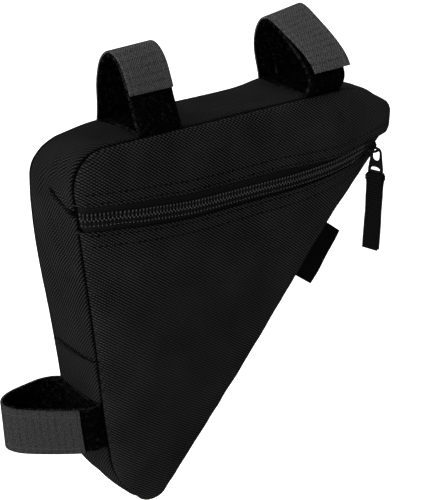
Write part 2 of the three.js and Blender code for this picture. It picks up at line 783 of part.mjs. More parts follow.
const label = new THREE.Group();
const labelStation = stationOn("slope", 1 - labelAt / slopeLength);
const labelPoint = seamPoint(labelStation, -1, 0);
label.position.set(labelPoint.x, -gussetWidth / 2 - pieceGap / 2, labelPoint.y);
label.rotation.y = Math.atan2(labelStation.out.x, labelStation.out.y);
add(label, "side_label", labelGeometry(), materials.label);
bag.add(label);

// The origin is on the top tube's axis, midway between the two top straps.
bag.position.set(-(rearTopStrapAt + frontTopStrapAt) / 2, 0, -(topTubeRadius + gussetCrown));
const frameBag = new THREE.Group();
frameBag.add(bag);

export default frameBag;
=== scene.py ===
"""A triangular bicycle frame bag of black twill with a zip, three hook-and-loop straps and a bare label."""

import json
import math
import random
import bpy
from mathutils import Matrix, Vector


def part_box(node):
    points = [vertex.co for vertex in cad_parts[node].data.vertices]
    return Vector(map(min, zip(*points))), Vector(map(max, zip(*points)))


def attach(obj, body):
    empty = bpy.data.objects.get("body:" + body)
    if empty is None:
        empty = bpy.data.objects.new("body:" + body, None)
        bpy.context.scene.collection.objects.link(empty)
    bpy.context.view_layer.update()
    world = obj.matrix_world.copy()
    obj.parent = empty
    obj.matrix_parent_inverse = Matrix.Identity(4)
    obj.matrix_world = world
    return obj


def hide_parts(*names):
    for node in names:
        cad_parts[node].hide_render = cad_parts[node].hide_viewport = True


bl_info = {
    "name": "Bicycle frame bag",
    "version": (1, 0, 0),
    "blender": (4, 5, 0),
    "location": "3D View > Sidebar > Frame bag",
    "description": "Dresses the model of a frame bag in cloth, zip, straps and stitching",
    "category": "Object",
}

from bisect import bisect_left
from collections import namedtuple
from functools import cache

import bmesh
import bpy
from mathutils import Euler, Matrix, Vector, noise
from mathutils.bvhtree import BVHTree

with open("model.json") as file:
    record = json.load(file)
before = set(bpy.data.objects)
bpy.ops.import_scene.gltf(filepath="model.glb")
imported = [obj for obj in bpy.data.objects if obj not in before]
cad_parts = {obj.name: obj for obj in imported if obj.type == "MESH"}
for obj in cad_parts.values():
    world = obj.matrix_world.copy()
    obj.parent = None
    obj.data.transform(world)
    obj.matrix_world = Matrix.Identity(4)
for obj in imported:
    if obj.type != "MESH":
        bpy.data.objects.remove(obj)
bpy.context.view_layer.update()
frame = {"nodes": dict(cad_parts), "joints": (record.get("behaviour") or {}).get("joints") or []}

# The shape is worked out in millimetres from the bag's rear top corner, X forward, Y to the back
# face and Z up, and each finished piece is moved into the frame's metres.

MM = 0.001
ORIGIN = Vector((-105.25, 0, -16.7))
FRONT, REAR = -1, 1

# Body
BAG_LENGTH = 211.0
BAG_HEIGHT = 203.5
GUSSET_WIDTH = 36.0
SEAM_SINK = 2.5
GUSSET_CROWN = 0.8
FRONT_CROWN = 15.0
REAR_CROWN = 10.0
CLOTH_WALL = 1.5
PIECE_GAP = 0.3
HALF_WIDTH = GUSSET_WIDTH / 2 - PIECE_GAP / 2
SEAM_PLANE = GUSSET_WIDTH / 2 + PIECE_GAP / 2
SEAT_JOIN = 88.0
NOSE_JOIN = 42.0
JOIN_DIP = 0.45
JOIN_REACH = 1.6
REAR_SEAM_INSET = 0.15
HEM_ROLL = 0.7

# Degrees by which the ribs of the twill are turned
PANEL_TWILL = 53
GUSSET_TWILL = -55

# The cloth is painted darker near a seam, as painted shade in the seam's groove. The deep tuck at the zip's
# end counts as one, from its middle line out, so its crease gets painted shade too
TUCK_SHADE_SLOPE = 0.55
TUCK_SHADE_START = 0.25

# Zip
ZIP_DROP = 37.0
TAPE_DEPTH = CLOTH_WALL + PIECE_GAP
TAPE_REACH = 11.0
TAPE_TURNED_IN = 1.6
TAPE_WALL = 0.5
COIL_DEPTH = 0.55
CORD_DEPTH = 0.25
TOOTH_BAR = 0.34
TOOTH_BAR_LENGTH = 2.6
Bead = namedtuple("Bead", "at along across high")
TOOTH_ENDS = (Bead(0.4, 0.46, 0.55, 0.52), Bead(2.75, 0.44, 0.42, 0.56))
Cord = namedtuple("Cord", "side offset thickness")
CORDS = (Cord(1, 1.6, 0.95), Cord(-1, 1.15, 0.75), Cord(-1, 1.9, 0.7))
CORD_STITCH = 1.0
CORD_GAP = -0.05

# Pull
PULLER_WALL = 1.2
PULLER_EYE_TOP = 1.05
PULLER_EYE_HEIGHT = 6.4
PULLER_BAR = 3.4
PULLER_SLOT_HEIGHT = 3.9
PULLER_RIM = 0.9
SLOT_WIDTH = 6.2
WEBBING_WIDTH = 9.5
WEBBING_WALL = 1.1
WEBBING_LENGTH = 43.5
WEBBING_RIB = 1.35

# Straps and label
STRAP_WIDTH = 25.0
PILE_WALL = 1.7
HOOK_WALL = 1.2
SEWN_LIFT = 1.1
OUTER_TUFTS = 900
INNER_TUFTS = 2200
LABEL_AT = 75.5
LABEL_LENGTH = 34.0
LABEL_REACH = 17.0
LABEL_WALL = 0.55
LABEL_LEAN = 0.14
LABEL_TAPER = 0.13

# Stitching: how far beyond the hems, beside the gusset's joins and across the gusset its rows lie
HEM_ROWS = ((1, 1.6), (1, 6.0), (-1, 1.8), (-1, 7.0))
JOIN_ROWS = (1.3, -1.6)
SEAM_ROW = -0.985
STITCH_SINK = 0.04

# Faces along and across the sheets of cloth
PANEL_GRID = (240, 54)
GUSSET_UPPER_GRID = (84, 420)
GUSSET_LOWER_GRID = (84, 260)
STRAP_GRID = (14, 110)
SEWN_GRID = (14, 40)
TAPE_GRID = (10, 150)
WEBBING_GRID = (10, 420)
LABEL_GRID = (40, 20)

Corner = namedtuple("Corner", "name along drop radius")
CORNERS = (
    Corner("seat_top", 0, 0, 0.5),
    Corner("heel", 0.08, 0.854, 1.1),
    Corner("foot", 0.1825, 1, 0.34),
    Corner("nose_under", 0.985, 0.14, 0.36),
    Corner("nose_tip", 0.985, 0.068, 0.25),
    Corner("nose_top", 0.867, 0.0025, 1.67),
)
STRAIGHTS = ("seat", "heel_to_foot", "slope", "nose", "nose_front", "top")
CORNER_POINTS = {c.name: Vector((c.along * BAG_LENGTH, -c.drop * BAG_HEIGHT)) for c in CORNERS}
PANEL_MIDDLE = sum((CORNER_POINTS[n] for n in ("seat_top", "foot", "nose_top")), Vector((0, 0))) / 3
BAG_MIDDLE = Vector((PANEL_MIDDLE.x, 0, PANEL_MIDDLE.y))

# Swellings and dents of the stuffed body
Form = namedtuple("Form", "side along across reach_along reach_across rise")
FORMS = (
    Form("seat_top", 0.3, 1.1, 0.55, 0.5, -0.12),
    Form("top", 0.1, 1, 0.45, 0.28, 0.08),
    Form("seat", 0.26, 1, 0.9, 0.45, 0.045),
    Form("seat", 0.07, -0.45, 0.2, 0.22, -0.045),
    Form("seat", 0.85, -1, 0.8, 0.4, 0.03),
    Form("slope", 0.27, 0, 1.4, 2, 0.02),
    Form("slope", 0.7, 0, 1.1, 2, -0.07),
)

Section = namedtuple("Section", "across drop crown")
GUSSET_SECTION = (
    Section(0, 0, 1),
    Section(0.4, 0, 1),
    Section(0.72, 0.03, 0.5),
    Section(0.85, 0.12, 0.1),
    Section(0.92, 0.36, 0),
    Section(0.965, 0.8, 0),
    Section(1, 1.25, 0),
)

Ring = namedtuple("Ring", "inset to_middle rise")
PANEL_RINGS = (
    Ring(1.25, 0, 0),
    Ring(0.6, 0, 0.035),
    Ring(0.34, 0, 0.12),
    Ring(0.6, 0, 0.26),
    Ring(1.7, 0, 0.41),
    Ring(3.2, 0, 0.53),
    Ring(3.2, 0.09, 0.67),
    Ring(3.2, 0.26, 0.84),
    Ring(3.2, 0.55, 0.96),
    Ring(3.2, 1, 1),
)

ZipPoint = namedtuple("ZipPoint", "along drop")
ZIP_LINE = (
    ZipPoint(-0.2, 0.86),
    ZipPoint(0.05, 0.845),
    ZipPoint(0.16, 0.885),
    ZipPoint(0.3, 0.965),
    ZipPoint(0.5, 1),
    ZipPoint(0.7, 1.01),
    ZipPoint(0.85, 0.92),
    ZipPoint(0.92, 0.875),
    ZipPoint(1.2, 0.8),
)

# Distance of the two hems from the middle of the zip, at shares of the bag's length
UPPER_LIP = ((0, 6.2), (0.3, 6.8), (0.56, 7.2), (0.66, 5.6), (0.76, 3.6), (0.9, 2.4), (1, 2))
LOWER_LIP = ((0, 6), (0.3, 5.6), (0.56, 5.1), (0.76, 4.3), (1, 3.8))

# Creases in the gusset, from one place to another in millimetres round the outline and across
# the gusset, and in the panels, in millimetres along the bag and down
Fold = namedtuple("Fold", "start end width depth")
GUSSET_FOLDS = (
    Fold((31.5, -2.5), (40.5, -17), 1.3, 4.2),
    Fold((13, -3), (27, -5), 2.0, 1.7),
    Fold((21, 2.5), (38, 8), 2.0, 1.5),
    Fold((14, 9), (34, 13), 2.6, 0.9),
    Fold((10, -11), (24, -12), 2.0, 0.9),
    Fold((46, 2), (70, -9), 3.0, 1.3),
    Fold((62, 12), (92, 3), 3.6, 1.0),
    Fold((92, -6), (112, -14), 3.0, 0.9),
    Fold((122, 8), (136, -2), 3.0, 0.9),
    Fold((150, -2), (163, -14), 3.0, 0.9),
    Fold((172, 6), (190, -8), 3.0, 0.8),
    Fold((560, -10), (592, -5), 3.2, 1.0),
    Fold((592, 10), (604, -8), 3.0, 0.9),
    Fold((500, 4), (520, -13), 3.2, 0.9),
    Fold((470, 8), (486, -10), 2.8, 0.7),
)
FRONT_FOLDS = (
    Fold((158, -2), (166, -19), 2.6, 0.9),
    Fold((170, -2), (190, -19), 2.8, 1.3),
    Fold((184, -2), (205, -13), 2.4, 1.0),
    Fold((30, -49), (96, -55), 6.0, 0.7),
    Fold((104, -60), (160, -58), 7.0, 0.7),
    Fold((22, -150), (42, -128), 5.5, 0.7),
    Fold((28, -176), (52, -160), 5.0, 0.9),
    Fold((20, -110), (34, -84), 6.0, 0.6),
    Fold((70, -12), (120, -18), 7.0, 0.5),
    Fold((118, -104), (132, -78), 6.0, 0.6),
)
REAR_FOLDS = (
    Fold((24, -20), (74, -34), 6.0, 0.9),
    Fold((22, -120), (60, -92), 7.0, 0.9),
    Fold((90, -58), (146, -46), 7.0, 0.8),
    Fold((150, -20), (192, -26), 5.0, 0.8),
    Fold((30, -176), (58, -150), 5.0, 0.9),
    Fold((92, -128), (116, -96), 6.0, 0.7),
)


# Curves


def through(rows, t):
    """The row at t, from 0 to 1, on a smooth curve through rows of numbers."""
    place = t * (len(rows) - 1)
    i = min(int(place), len(rows) - 2)
    f = place - i
    last = len(rows) - 1
    before, a, b, after = (rows[min(max(i + k, 0), last)] for k in (-1, 0, 1, 2))
    mixed = []
    for w, x, y, z in zip(before, a, b, after):
        leave, reach = (y - w) / 2, (z - x) / 2
        cubic = (2 * x - 2 * y + leave + reach) * f**3
        square = (3 * y - 3 * x - 2 * leave - reach) * f**2
        mixed.append(cubic + square + leave * f + x)
    return mixed


def lerp(a, b, share):
    return a + (b - a) * share


def spread(low, high, steps):
    """Numbers at an even step from low to high, with both ends."""
    return [lerp(low, high, k / steps) for k in range(steps + 1)]


def smooth(value, low, high):
    share = min(max((value - low) / (high - low), 0), 1)
    return share * share * (3 - 2 * share)


def in_table(pairs, x):
    """y at x in a list of (x, y) pairs, in straight steps."""
    for (x0, y0), (x1, y1) in zip(pairs, pairs[1:]):
        if x <= x1:
            return lerp(y0, y1, (x - x0) / (x1 - x0))
    return pairs[-1][1]


class EvenCurve:
    """A smooth curve through points of a plane, walked at an even speed."""

    STEPS = 200

    def __init__(self, points):
        self.points = [Vector(through(points, t)) for t in spread(0, 1, self.STEPS)]
        self.lengths = [0.0]
        for a, b in zip(self.points, self.points[1:]):
            self.lengths.append(self.lengths[-1] + (b - a).length)

    def at(self, share):
        length = share * self.lengths[-1]
        i = min(max(bisect_left(self.lengths, length) - 1, 0), self.STEPS - 1)
        before, after = self.lengths[i : i + 2]
        return self.points[i].lerp(self.points[i + 1], (length - before) / (after - before))

    def run(self, share):
        near = 1e-3
        return (self.at(min(share + near, 1)) - self.at(max(share - near, 0))).normalized()


# Side outline


Side = namedtuple("Side", "name start length place")


def arc_side(centre, radius, begin, sweep):
    def place(share):
        angle = begin + share * sweep
        out = Vector((math.cos(angle), math.sin(angle)))
        return centre + radius * out, out

    return radius * sweep, place


def straight_side(a, b):
    run = (b - a).normalized()
    out = Vector((run.y, -run.x))
    return (b - a).length, lambda share: (a.lerp(b, share), out)


def outline_sides():
    """The arcs round the corners and the straight sides between them, in order."""
    points = list(CORNER_POINTS.values())
    arcs = []
    for i, corner in enumerate(CORNERS):
        at = points[i]
        radius = corner.radius * GUSSET_WIDTH
        back = (points[i - 1] - at).normalized()
        onward = (points[(i + 1) % len(points)] - at).normalized()
        half = back.angle(onward) / 2
        centre = at + (back + onward).normalized() * (radius / math.sin(half))
        first = at + back * (radius / math.tan(half)) - centre
        last = at + onward * (radius / math.tan(half)) - centre
        begin = math.atan2(first.y, first.x)
        sweep = (math.atan2(last.y, last.x) - begin) % math.tau
        arcs.append(arc_side(centre, radius, begin, sweep))
    sides = []
    start = 0.0
    for i, corner in enumerate(CORNERS):
        length, place = arcs[i]
        sides.append(Side(corner.name, start, length, place))
        start += length
        onward = arcs[(i + 1) % len(arcs)][1]
        length, place = straight_side(place(1)[0], onward(0)[0])
        sides.append(Side(STRAIGHTS[i], start, length, place))
        start += length
    return sides


SIDES = outline_sides()
SIDE = {side.name: side for side in SIDES}
ROUND = SIDES[-1].start + SIDES[-1].length


def station(distance):
    """The point of the outline at a distance round it, and its outward direction."""
    distance %= ROUND
    side = next(s for s in SIDES if distance <= s.start + s.length + 1e-9)
    return side.place(min((distance - side.start) / side.length, 1))


def round_at(side, share):
    """The distance round the outline of a share of one of its sides."""
    return SIDE[side].start + share * SIDE[side].length


SEAT_JOIN_AT = round_at("seat", SEAT_JOIN / SIDE["seat"].length)
NOSE_JOIN_AT = round_at("slope", 1 - NOSE_JOIN / SIDE["slope"].length)
FORM_PLACES = [(form, round_at(form.side, form.along)) for form in FORMS]


def standing(spot, y):
    """A point of the outline's plane, at a place y across the bag."""
    return Vector((spot.x, y, spot.y))


def form_rise(distance, across):
    """How far the swellings and dents carry the gusset out."""
    rise = 0.0
    for form, place in FORM_PLACES:
        away = abs(distance % ROUND - place)
        along = min(away, ROUND - away) / (form.reach_along * GUSSET_WIDTH)
        aside = (across - form.across) / 2 / form.reach_across
        rise += form.rise * GUSSET_WIDTH * math.exp(-along * along - aside * aside)
    return rise


def along_line(here, fold):
    """How far along a crease a place lies, as a share of it."""
    start, end = Vector(fold.start), Vector(fold.end)
    return (here - start).dot(end - start) / (end - start).length_squared


def from_line(here, fold):
    """How far a place lies from a crease's middle line."""
    share = min(max(along_line(here, fold), 0), 1)
    return (here - Vector(fold.start).lerp(Vector(fold.end), share)).length


def fold_depth(folds, u, v):
    """How deep the creases near a place are there."""
    depth = 0.0
    here = Vector((u, v))
    for fold in folds:
        share = along_line(here, fold)
        off = from_line(here, fold) / fold.width
        if off > 3:
            continue
        ends = smooth(share, -0.25, 0.3) * (1 - smooth(share, 0.7, 1.25))
        crest = 0.45 * math.exp(-((off - 1.6) ** 2))
        depth += fold.depth * ends * (math.exp(-abs(off) ** 1.5) - crest)
    return depth


def ripple(u, v, scale, height):
    """Soft unevenness of stuffed cloth."""
    return height * noise.noise(Vector((u / scale, v / scale, scale)))


def gusset_rise(distance, across):
    """Height of the gusset's outer face over the outline."""
    pairs = [(s.across, s.crown * GUSSET_CROWN - s.drop * SEAM_SINK) for s in GUSSET_SECTION]
    return in_table(pairs, min(abs(across), 1)) + form_rise(distance, across)


ZIP_CURVE = [through(ZIP_LINE, t) for t in spread(0, 1, 80)]
ZIP_POINTS = [(along * BAG_LENGTH, -drop * ZIP_DROP) for along, drop in ZIP_CURVE]


def zip_height(x):
    return in_table(ZIP_POINTS, x)


def zip_lip(x, side):
    """How far the hem on a side lies from the middle of the zip."""
    along = min(max(x / BAG_LENGTH, 0), 1)
    return in_table(UPPER_LIP if side > 0 else LOWER_LIP, along)


# Meshes


def sheet(across, along, place):
    """A grid of faces with each corner where place(u, v) puts it, and the cloth's own flat map."""
    bm = bmesh.new()
    bmesh.ops.create_grid(bm, x_segments=across, y_segments=along, size=0.5)
    layer = bm.loops.layers.uv.new("cloth")
    flat = {}
    for vert in bm.verts:
        vert.co, flat[vert] = place(vert.co.x + 0.5, vert.co.y + 0.5)
    for face in bm.faces:
        for loop in face.loops:
            loop[layer].uv = flat[loop.vert]
    bmesh.ops.remove_doubles(bm, verts=bm.verts, dist=1e-4)
    return bm


def seam_map(bm, from_seam):
    """A second map that holds how far each place lies from the nearest seam, in millimetres, from which the
    twill paints shade in the seam grooves.
    """
    bm.loops.layers.uv.new("seam")
    layer, cloth = (bm.loops.layers.uv[name] for name in ("seam", "cloth"))
    for face in bm.faces:
        for loop in face.loops:
            loop[layer].uv = (from_seam(loop.vert.co, loop[cloth].uv), 0)


def flat_map(bm):
    """The cloth's flat map of a panel, which is its view from the side."""
    layer = bm.loops.layers.uv["cloth"]
    for face in bm.faces:
        for loop in face.loops:
            loop[layer].uv = (loop.vert.co.x, loop.vert.co.z)


def face_away(bm, middle=BAG_MIDDLE):
    """Turns an open skin's faces away from a point inside it."""
    bmesh.ops.recalc_face_normals(bm, faces=bm.faces)
    facing = sum(f.normal.dot(f.calc_center_median() - middle) * f.calc_area() for f in bm.faces)
    if facing < 0:
        bmesh.ops.reverse_faces(bm, faces=bm.faces)


def wall(thickness, offset, lining=0):
    return {"type": "SOLIDIFY", "thickness": thickness * MM, "offset": offset, "material_offset": lining}


def rounded(width, segments=2):
    return {
        "type": "BEVEL",
        "width": width * MM,
        "segments": segments,
        "limit_method": "ANGLE",
        "angle_limit": math.radians(40),
    }


def finish(
    bm, name, material, body="bag", modifiers=(), replaces=(), placed=False, sharp=None, inner=None
):
    """Makes the piece's object in the frame's metres, and puts it on its body."""
    if not placed:
        bmesh.ops.translate(bm, vec=ORIGIN, verts=bm.verts)
        bmesh.ops.scale(bm, vec=(MM, MM, MM), verts=bm.verts)
    for face in bm.faces:
        face.smooth = True
    mesh = bpy.data.meshes.new(name)
    bm.to_mesh(mesh)
    bm.free()
    if sharp is not None:
        mesh.set_sharp_from_angle(angle=math.radians(sharp))
    mesh.materials.append(material)
    if inner is not None:
        mesh.materials.append(inner)
    piece = bpy.data.objects.new(name, mesh)
    bpy.context.scene.collection.objects.link(piece)
    for settings in modifiers:
        modifier = piece.modifiers.new(settings["type"].title(), settings["type"])
        for key, value in settings.items():
            if key != "type":
                setattr(modifier, key, value)
    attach(piece, body)
    if replaces:
        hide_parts(*replaces)
    return piece


def copies(template, places):
    """One mesh of a small template copied to many places."""
    points = [vert.co.copy() for vert in template.verts]
    faces = [[vert.index for vert in face.verts] for face in template.faces]
    template.free()
    mesh = bpy.data.meshes.new("copies")
    mesh.from_pydata(
        [matrix @ point for matrix in places for point in points],
        [],
        [[i + k * len(points) for i in face] for k in range(len(places)) for face in faces],
    )
    bm = bmesh.new()
    bm.from_mesh(mesh)
    bpy.data.meshes.remove(mesh)
    return bm


def joined(parts):
    """One mesh of several, which are used up."""
    bm = bmesh.new()
    mesh = bpy.data.meshes.new("part")
    for part in parts:
        part.to_mesh(mesh)
        part.free()
        bm.from_mesh(mesh)
        mesh.clear_geometry()
    bpy.data.meshes.remove(mesh)
    return bm


def set_square(at, along, out):
    """A place whose X runs along, whose Z points out, and whose Y is square to both."""
    x = along.normalized()
    y = out.cross(x).normalized()
    z = x.cross(y)
    turn = Matrix((x, y, z)).transposed().to_4x4()
    return Matrix.Translation(at) @ turn


def even_places(path, pitch, sunk=0.0):
    """Places at an even pitch along a path of (point, outward) pairs."""
    places = []
    points = [point for point, _ in path]
    lengths = [0.0]
    for a, b in zip(points, points[1:]):
        lengths.append(lengths[-1] + (b - a).length)
    i = 0
    for k in range(int(lengths[-1] / pitch)):
        centre = (k + 0.5) * pitch
        while lengths[i + 1] < centre:
            i += 1
        share = (centre - lengths[i]) / (lengths[i + 1] - lengths[i])
        out = path[i][1].lerp(path[i + 1][1], share).normalized()
        at = points[i].lerp(points[i + 1], share) - out * sunk
        places.append(set_square(at, points[i + 1] - points[i], out))
    return places


def sewn(path, length, gap, thickness, sunk=0.0):
    """A row of stitches along a path."""
    stitch = bmesh.new()
    bmesh.ops.create_uvsphere(stitch, u_segments=6, v_segments=5, radius=1)
    bmesh.ops.scale(stitch, vec=(length / 2, thickness / 2, thickness / 2), verts=stitch.verts)
    stitch.verts.index_update()
    return copies(stitch, even_places(path, length + gap, sunk))


# Finishes


class Field:
    """A number that varies over a surface; Python's operators on it add Math nodes."""

    def __init__(self, look, socket):
        self.finish = look
        self.socket = socket

    def math(self, operation, *values):
        return self.finish.node("ShaderNodeMath", {"operation": operation}, dict(enumerate(values)))

    def __add__(self, other):
        return self.math("ADD", self, other)

    def __radd__(self, other):
        return self.math("ADD", other, self)

    def __sub__(self, other):
        return self.math("SUBTRACT", self, other)

    def __rsub__(self, other):
        return self.math("SUBTRACT", other, self)

    def __mul__(self, other):
        return self.math("MULTIPLY", self, other)

    def __rmul__(self, other):
        return self.math("MULTIPLY", other, self)

    def wave(self, pitch):
        """From 0 to 1 and back once in each pitch."""
        return self.math("SINE", self * (math.tau / pitch)) * 0.5 + 0.5

    def size(self):
        return self.math("ABSOLUTE", self)

    def between(self, low, high):
        """0 below low, 1 above high, and a soft step from one to the other."""
        settings = {"interpolation_type": "SMOOTHSTEP"}
        values = {"Value": self, "From Min": low, "From Max": high}
        return self.finish.node("ShaderNodeMapRange", settings, values)


class Finish:
    """A material and its nodes."""

    def __init__(self, name, gloss=0.0, roughness=0.5):
        self.material = bpy.data.materials.new(name)
        self.material.use_nodes = True
        self.tree = self.material.node_tree
        self.shader = self.tree.nodes["Principled BSDF"]
        self.shader.inputs["Specular IOR Level"].default_value = gloss
        self.shader.inputs["Roughness"].default_value = roughness

    def node(self, kind, settings, values, output=0):
        made = self.tree.nodes.new(kind)
        for key, value in settings.items():
            setattr(made, key, value)
        for key, value in values.items():
            if isinstance(value, Field):
                self.tree.links.new(value.socket, made.inputs[key])
            else:
                made.inputs[key].default_value = value
        return Field(self, made.outputs[output])

    def split(self, vector):
        return [self.node("ShaderNodeSeparateXYZ", {}, {0: vector}, axis) for axis in range(3)]

    def cloth(self):
        """The cloth's own flat map, in millimetres."""
        return self.node("ShaderNodeUVMap", {"uv_map": "cloth"}, {})

    def flat(self):
        """The flat map's two directions."""
        return self.split(self.cloth())[:2]

    def space(self):
        """Object coordinates, in metres."""
        return self.node("ShaderNodeTexCoord", {}, {}, "Object")

    def speckle(self, vector, scale, detail=2.0):
        return self.node("ShaderNodeTexNoise", {}, {"Vector": vector, "Scale": scale, "Detail": detail})

    def tint(self, amount, colours, paleness=1.0):
        """Mixes the dark and the light one of a pair of the bag's colours. The light tone can be scaled
        down to paint shade on a piece.
        """
        looks = bpy.context.scene.bag_looks
        dark = (*getattr(looks, f"{colours}_dark"), 1)
        light = (*(paleness * part for part in getattr(looks, f"{colours}_light")), 1)
        mixed = self.node("ShaderNodeMix", {"data_type": "RGBA"}, {0: amount, 6: dark, 7: light}, 2)
        self.tree.links.new(mixed.socket, self.shader.inputs["Base Color"])

    def feed(self, socket, field):
        self.tree.links.new(field.socket, self.shader.inputs[socket])

    def relief(self, height, depth):
        """Bump of a depth in millimetres."""
        values = {"Height": height, "Distance": depth * MM, "Strength": 1.0}
        self.feed("Normal", self.node("ShaderNodeBump", {}, values, "Normal"))


def twill_finish(name, pitch, turn):
    """Twill: raised diagonal ribs of yarn, each broken into short floats."""
    look = Finish(name)
    u, v = look.flat()
    across = u * math.cos(turn) + v * math.sin(turn)
    along = v * math.cos(turn) - u * math.sin(turn)
    rib = across.wave(pitch)
    floats = (along + across * 0.5).wave(pitch * 1.05)
    yarn = rib * (floats * 0.7 + 0.3)
    fluff = look.speckle(look.cloth(), 1.6, 3.0)
    wear = look.speckle(look.cloth(), 0.045, 2.0)
    # Painted shade: the cloth is black within 0.6 mm of a seam or of the tuck's middle line and clears by
    # 1.6 mm, standing in for the shade in their grooves
    from_seam, _, _ = look.split(look.node("ShaderNodeUVMap", {"uv_map": "seam"}, {}))
    outside_painted_seam_shade = from_seam.between(0.6, 1.6)
    # Painted light: the cloth is made up to half again lighter towards the nose, from object x -0.03 m to
    # 0.09 m, standing in for the light the nose catches
    x, _, _ = look.split(look.space())
    painted_nose_light = 1 + x.between(-0.03, 0.09) * 0.5
    light = (yarn * 1.25 - 0.1 + (fluff - 0.5) * 0.8 + (wear - 0.5) * 0.4) * outside_painted_seam_shade * painted_nose_light
    look.tint(light, "cloth")
    look.feed("Roughness", 0.86 - yarn * 0.2)
    look.relief(yarn + fluff * 0.25, 0.22)
    return look.material


def tape_finish():
    """Knitted zip tape with fine ribs along it."""
    look = Finish("zip tape")
    u, v = look.flat()
    knit = v.wave(0.9) * 0.6 + (u + v * 0.5).wave(0.8) * 0.4
    look.tint(knit, "tape")
    look.feed("Roughness", 0.9 - knit * 0.15)
    look.relief(knit, 0.12)
    return look.material


def coil_finish():
    look = Finish("zip coil", gloss=0.22)
    dust = look.speckle(look.space(), 900.0, 2.0)
    look.tint(dust, "coil")
    look.feed("Roughness", 0.3 + dust * 0.2)
    return look.material


def hook_finish(name, paleness):
    """The woven back of the hook tape: fine cross ribs with a scatter of lighter yarn."""
    look = Finish(name)
    u, v = look.flat()
    grain = look.speckle(look.cloth(), 1.1, 3.0)
    left = (u * 0.8 + v + grain * 1.4).wave(1.05)
    right = (u * 0.9 - v + grain * 1.1).wave(1.2)
    weave = left * right * 0.9 + grain * 0.9 - 0.2
    rows = v.wave(3.6).between(0.8, 1.0)
    cord = 1 - (u.size() - (STRAP_WIDTH / 2 - 3.2)).size().between(0.2, 0.7)
    light = weave * 0.9 - rows * 0.1 + cord * left * 0.25
    # Painted shade: the light tone is scaled down for a band that is less lit, so the same hook tape gets
    # lit and shaded copies
    look.tint(light, "hook", paleness)
    look.feed("Roughness", 0.8 - weave * 0.15)
    look.relief(weave, 0.2)
    return look.material


def pile_finish():
    """Loop pile, black and deep, with a lighter woven edge."""
    look = Finish("pile band")
    u, v = look.flat()
    loops = look.speckle(look.cloth(), 1.4, 4.0)
    clumps = look.speckle(look.cloth(), 0.42, 2.0)
    _, y, _ = look.split(look.space())
    near = 1 - y.between(-0.004, 0.004)
    brink = u.size().between(STRAP_WIDTH / 2 - 0.5, STRAP_WIDTH / 2 - 0.1)
    edge = brink * loops.between(0.4, 0.65) * near
    knit = v.wave(0.9)
    fuzz = (loops * 0.6 + clumps * 0.5).between(0.5, 0.8)
    light = fuzz * (1 - edge) * 0.8 + edge * (0.6 + knit * 0.4)
    look.tint(light, "pile")
    look.feed("Roughness", 0.95 - edge * 0.15)
    look.relief((loops + clumps) * (1 - edge) + edge * knit * 0.3, 0.5)
    return look.material


def webbing_finish():
    look = Finish("pull webbing")
    u, v = look.flat()
    knit = (u + v.wave(WEBBING_RIB) * 0.3).wave(0.75)
    ribs = v.wave(WEBBING_RIB)
    light = ribs * 0.8 + knit * 0.2
    look.tint(light, "webbing")
    look.feed("Roughness", 0.9 - light * 0.2)
    look.relief(knit, 0.1)
    return look.material


def metal_finish():
    look = Finish("black metal")
    worn = look.speckle(look.space(), 700.0, 3.0)
    look.tint(worn, "metal")
    look.feed("Roughness", 0.42 + worn * 0.2)
    return look.material


def label_finish():
    """Satin label tape, left bare."""
    look = Finish("label satin")
    u, v = look.flat()
    thread = (u + v * 0.12).wave(0.32) * 0.6 + v.wave(0.5) * 0.4
    slub = look.speckle(look.cloth(), 0.5, 2.0)
    look.tint(thread * 0.6 + slub * 0.3, "label")
    look.feed("Roughness", 0.62 + slub * 0.15)
    look.relief(thread, 0.05)
    return look.material


def thread_finish():
    look = Finish("sewing thread")
    ply = look.speckle(look.space(), 1500.0, 2.0)
    look.tint(ply, "thread")
    look.feed("Roughness", 0.6 + ply * 0.2)
    return look.material


# Panels and gusset


def panel_skin(face, crown, folds):
    """One stuffed face from its seam to its middle, in one piece."""

    def place(u, v):
        inset, to_middle, rise = through(PANEL_RINGS, v)
        if face == REAR:
            inset = min(inset, REAR_SEAM_INSET) if v < 0.1 else inset
        distance = u * ROUND
        at, out = station(distance)
        seam = at + out * (form_rise(distance, face) - inset * SEAM_SINK)
        spot = seam.lerp(PANEL_MIDDLE, to_middle)
        free = smooth(rise, 0.05, 0.5)
        inner = smooth(to_middle, 0.0, 0.3)
        gather = ripple(at.x, at.y, scale=7.5, height=0.7) * free * (1 - inner)
        soft = ripple(spot.x, spot.y, scale=34, height=0.9) * inner
        sunk = fold_depth(folds, spot.x, spot.y) * free
        return standing(spot, face * (SEAM_PLANE + rise * crown + gather + soft - sunk)), (spot.x, spot.y)

    bm = sheet(*PANEL_GRID, place)
    face_away(bm)
    # Painted shade: the map is how far the cloth stands out beyond the seam plane, so the cloth next to the
    # seam is painted dark
    seam_map(bm, lambda at, flat: abs(at.y) - SEAM_PLANE)
    return bm


def front_skin():
    return panel_skin(FRONT, FRONT_CROWN, FRONT_FOLDS)


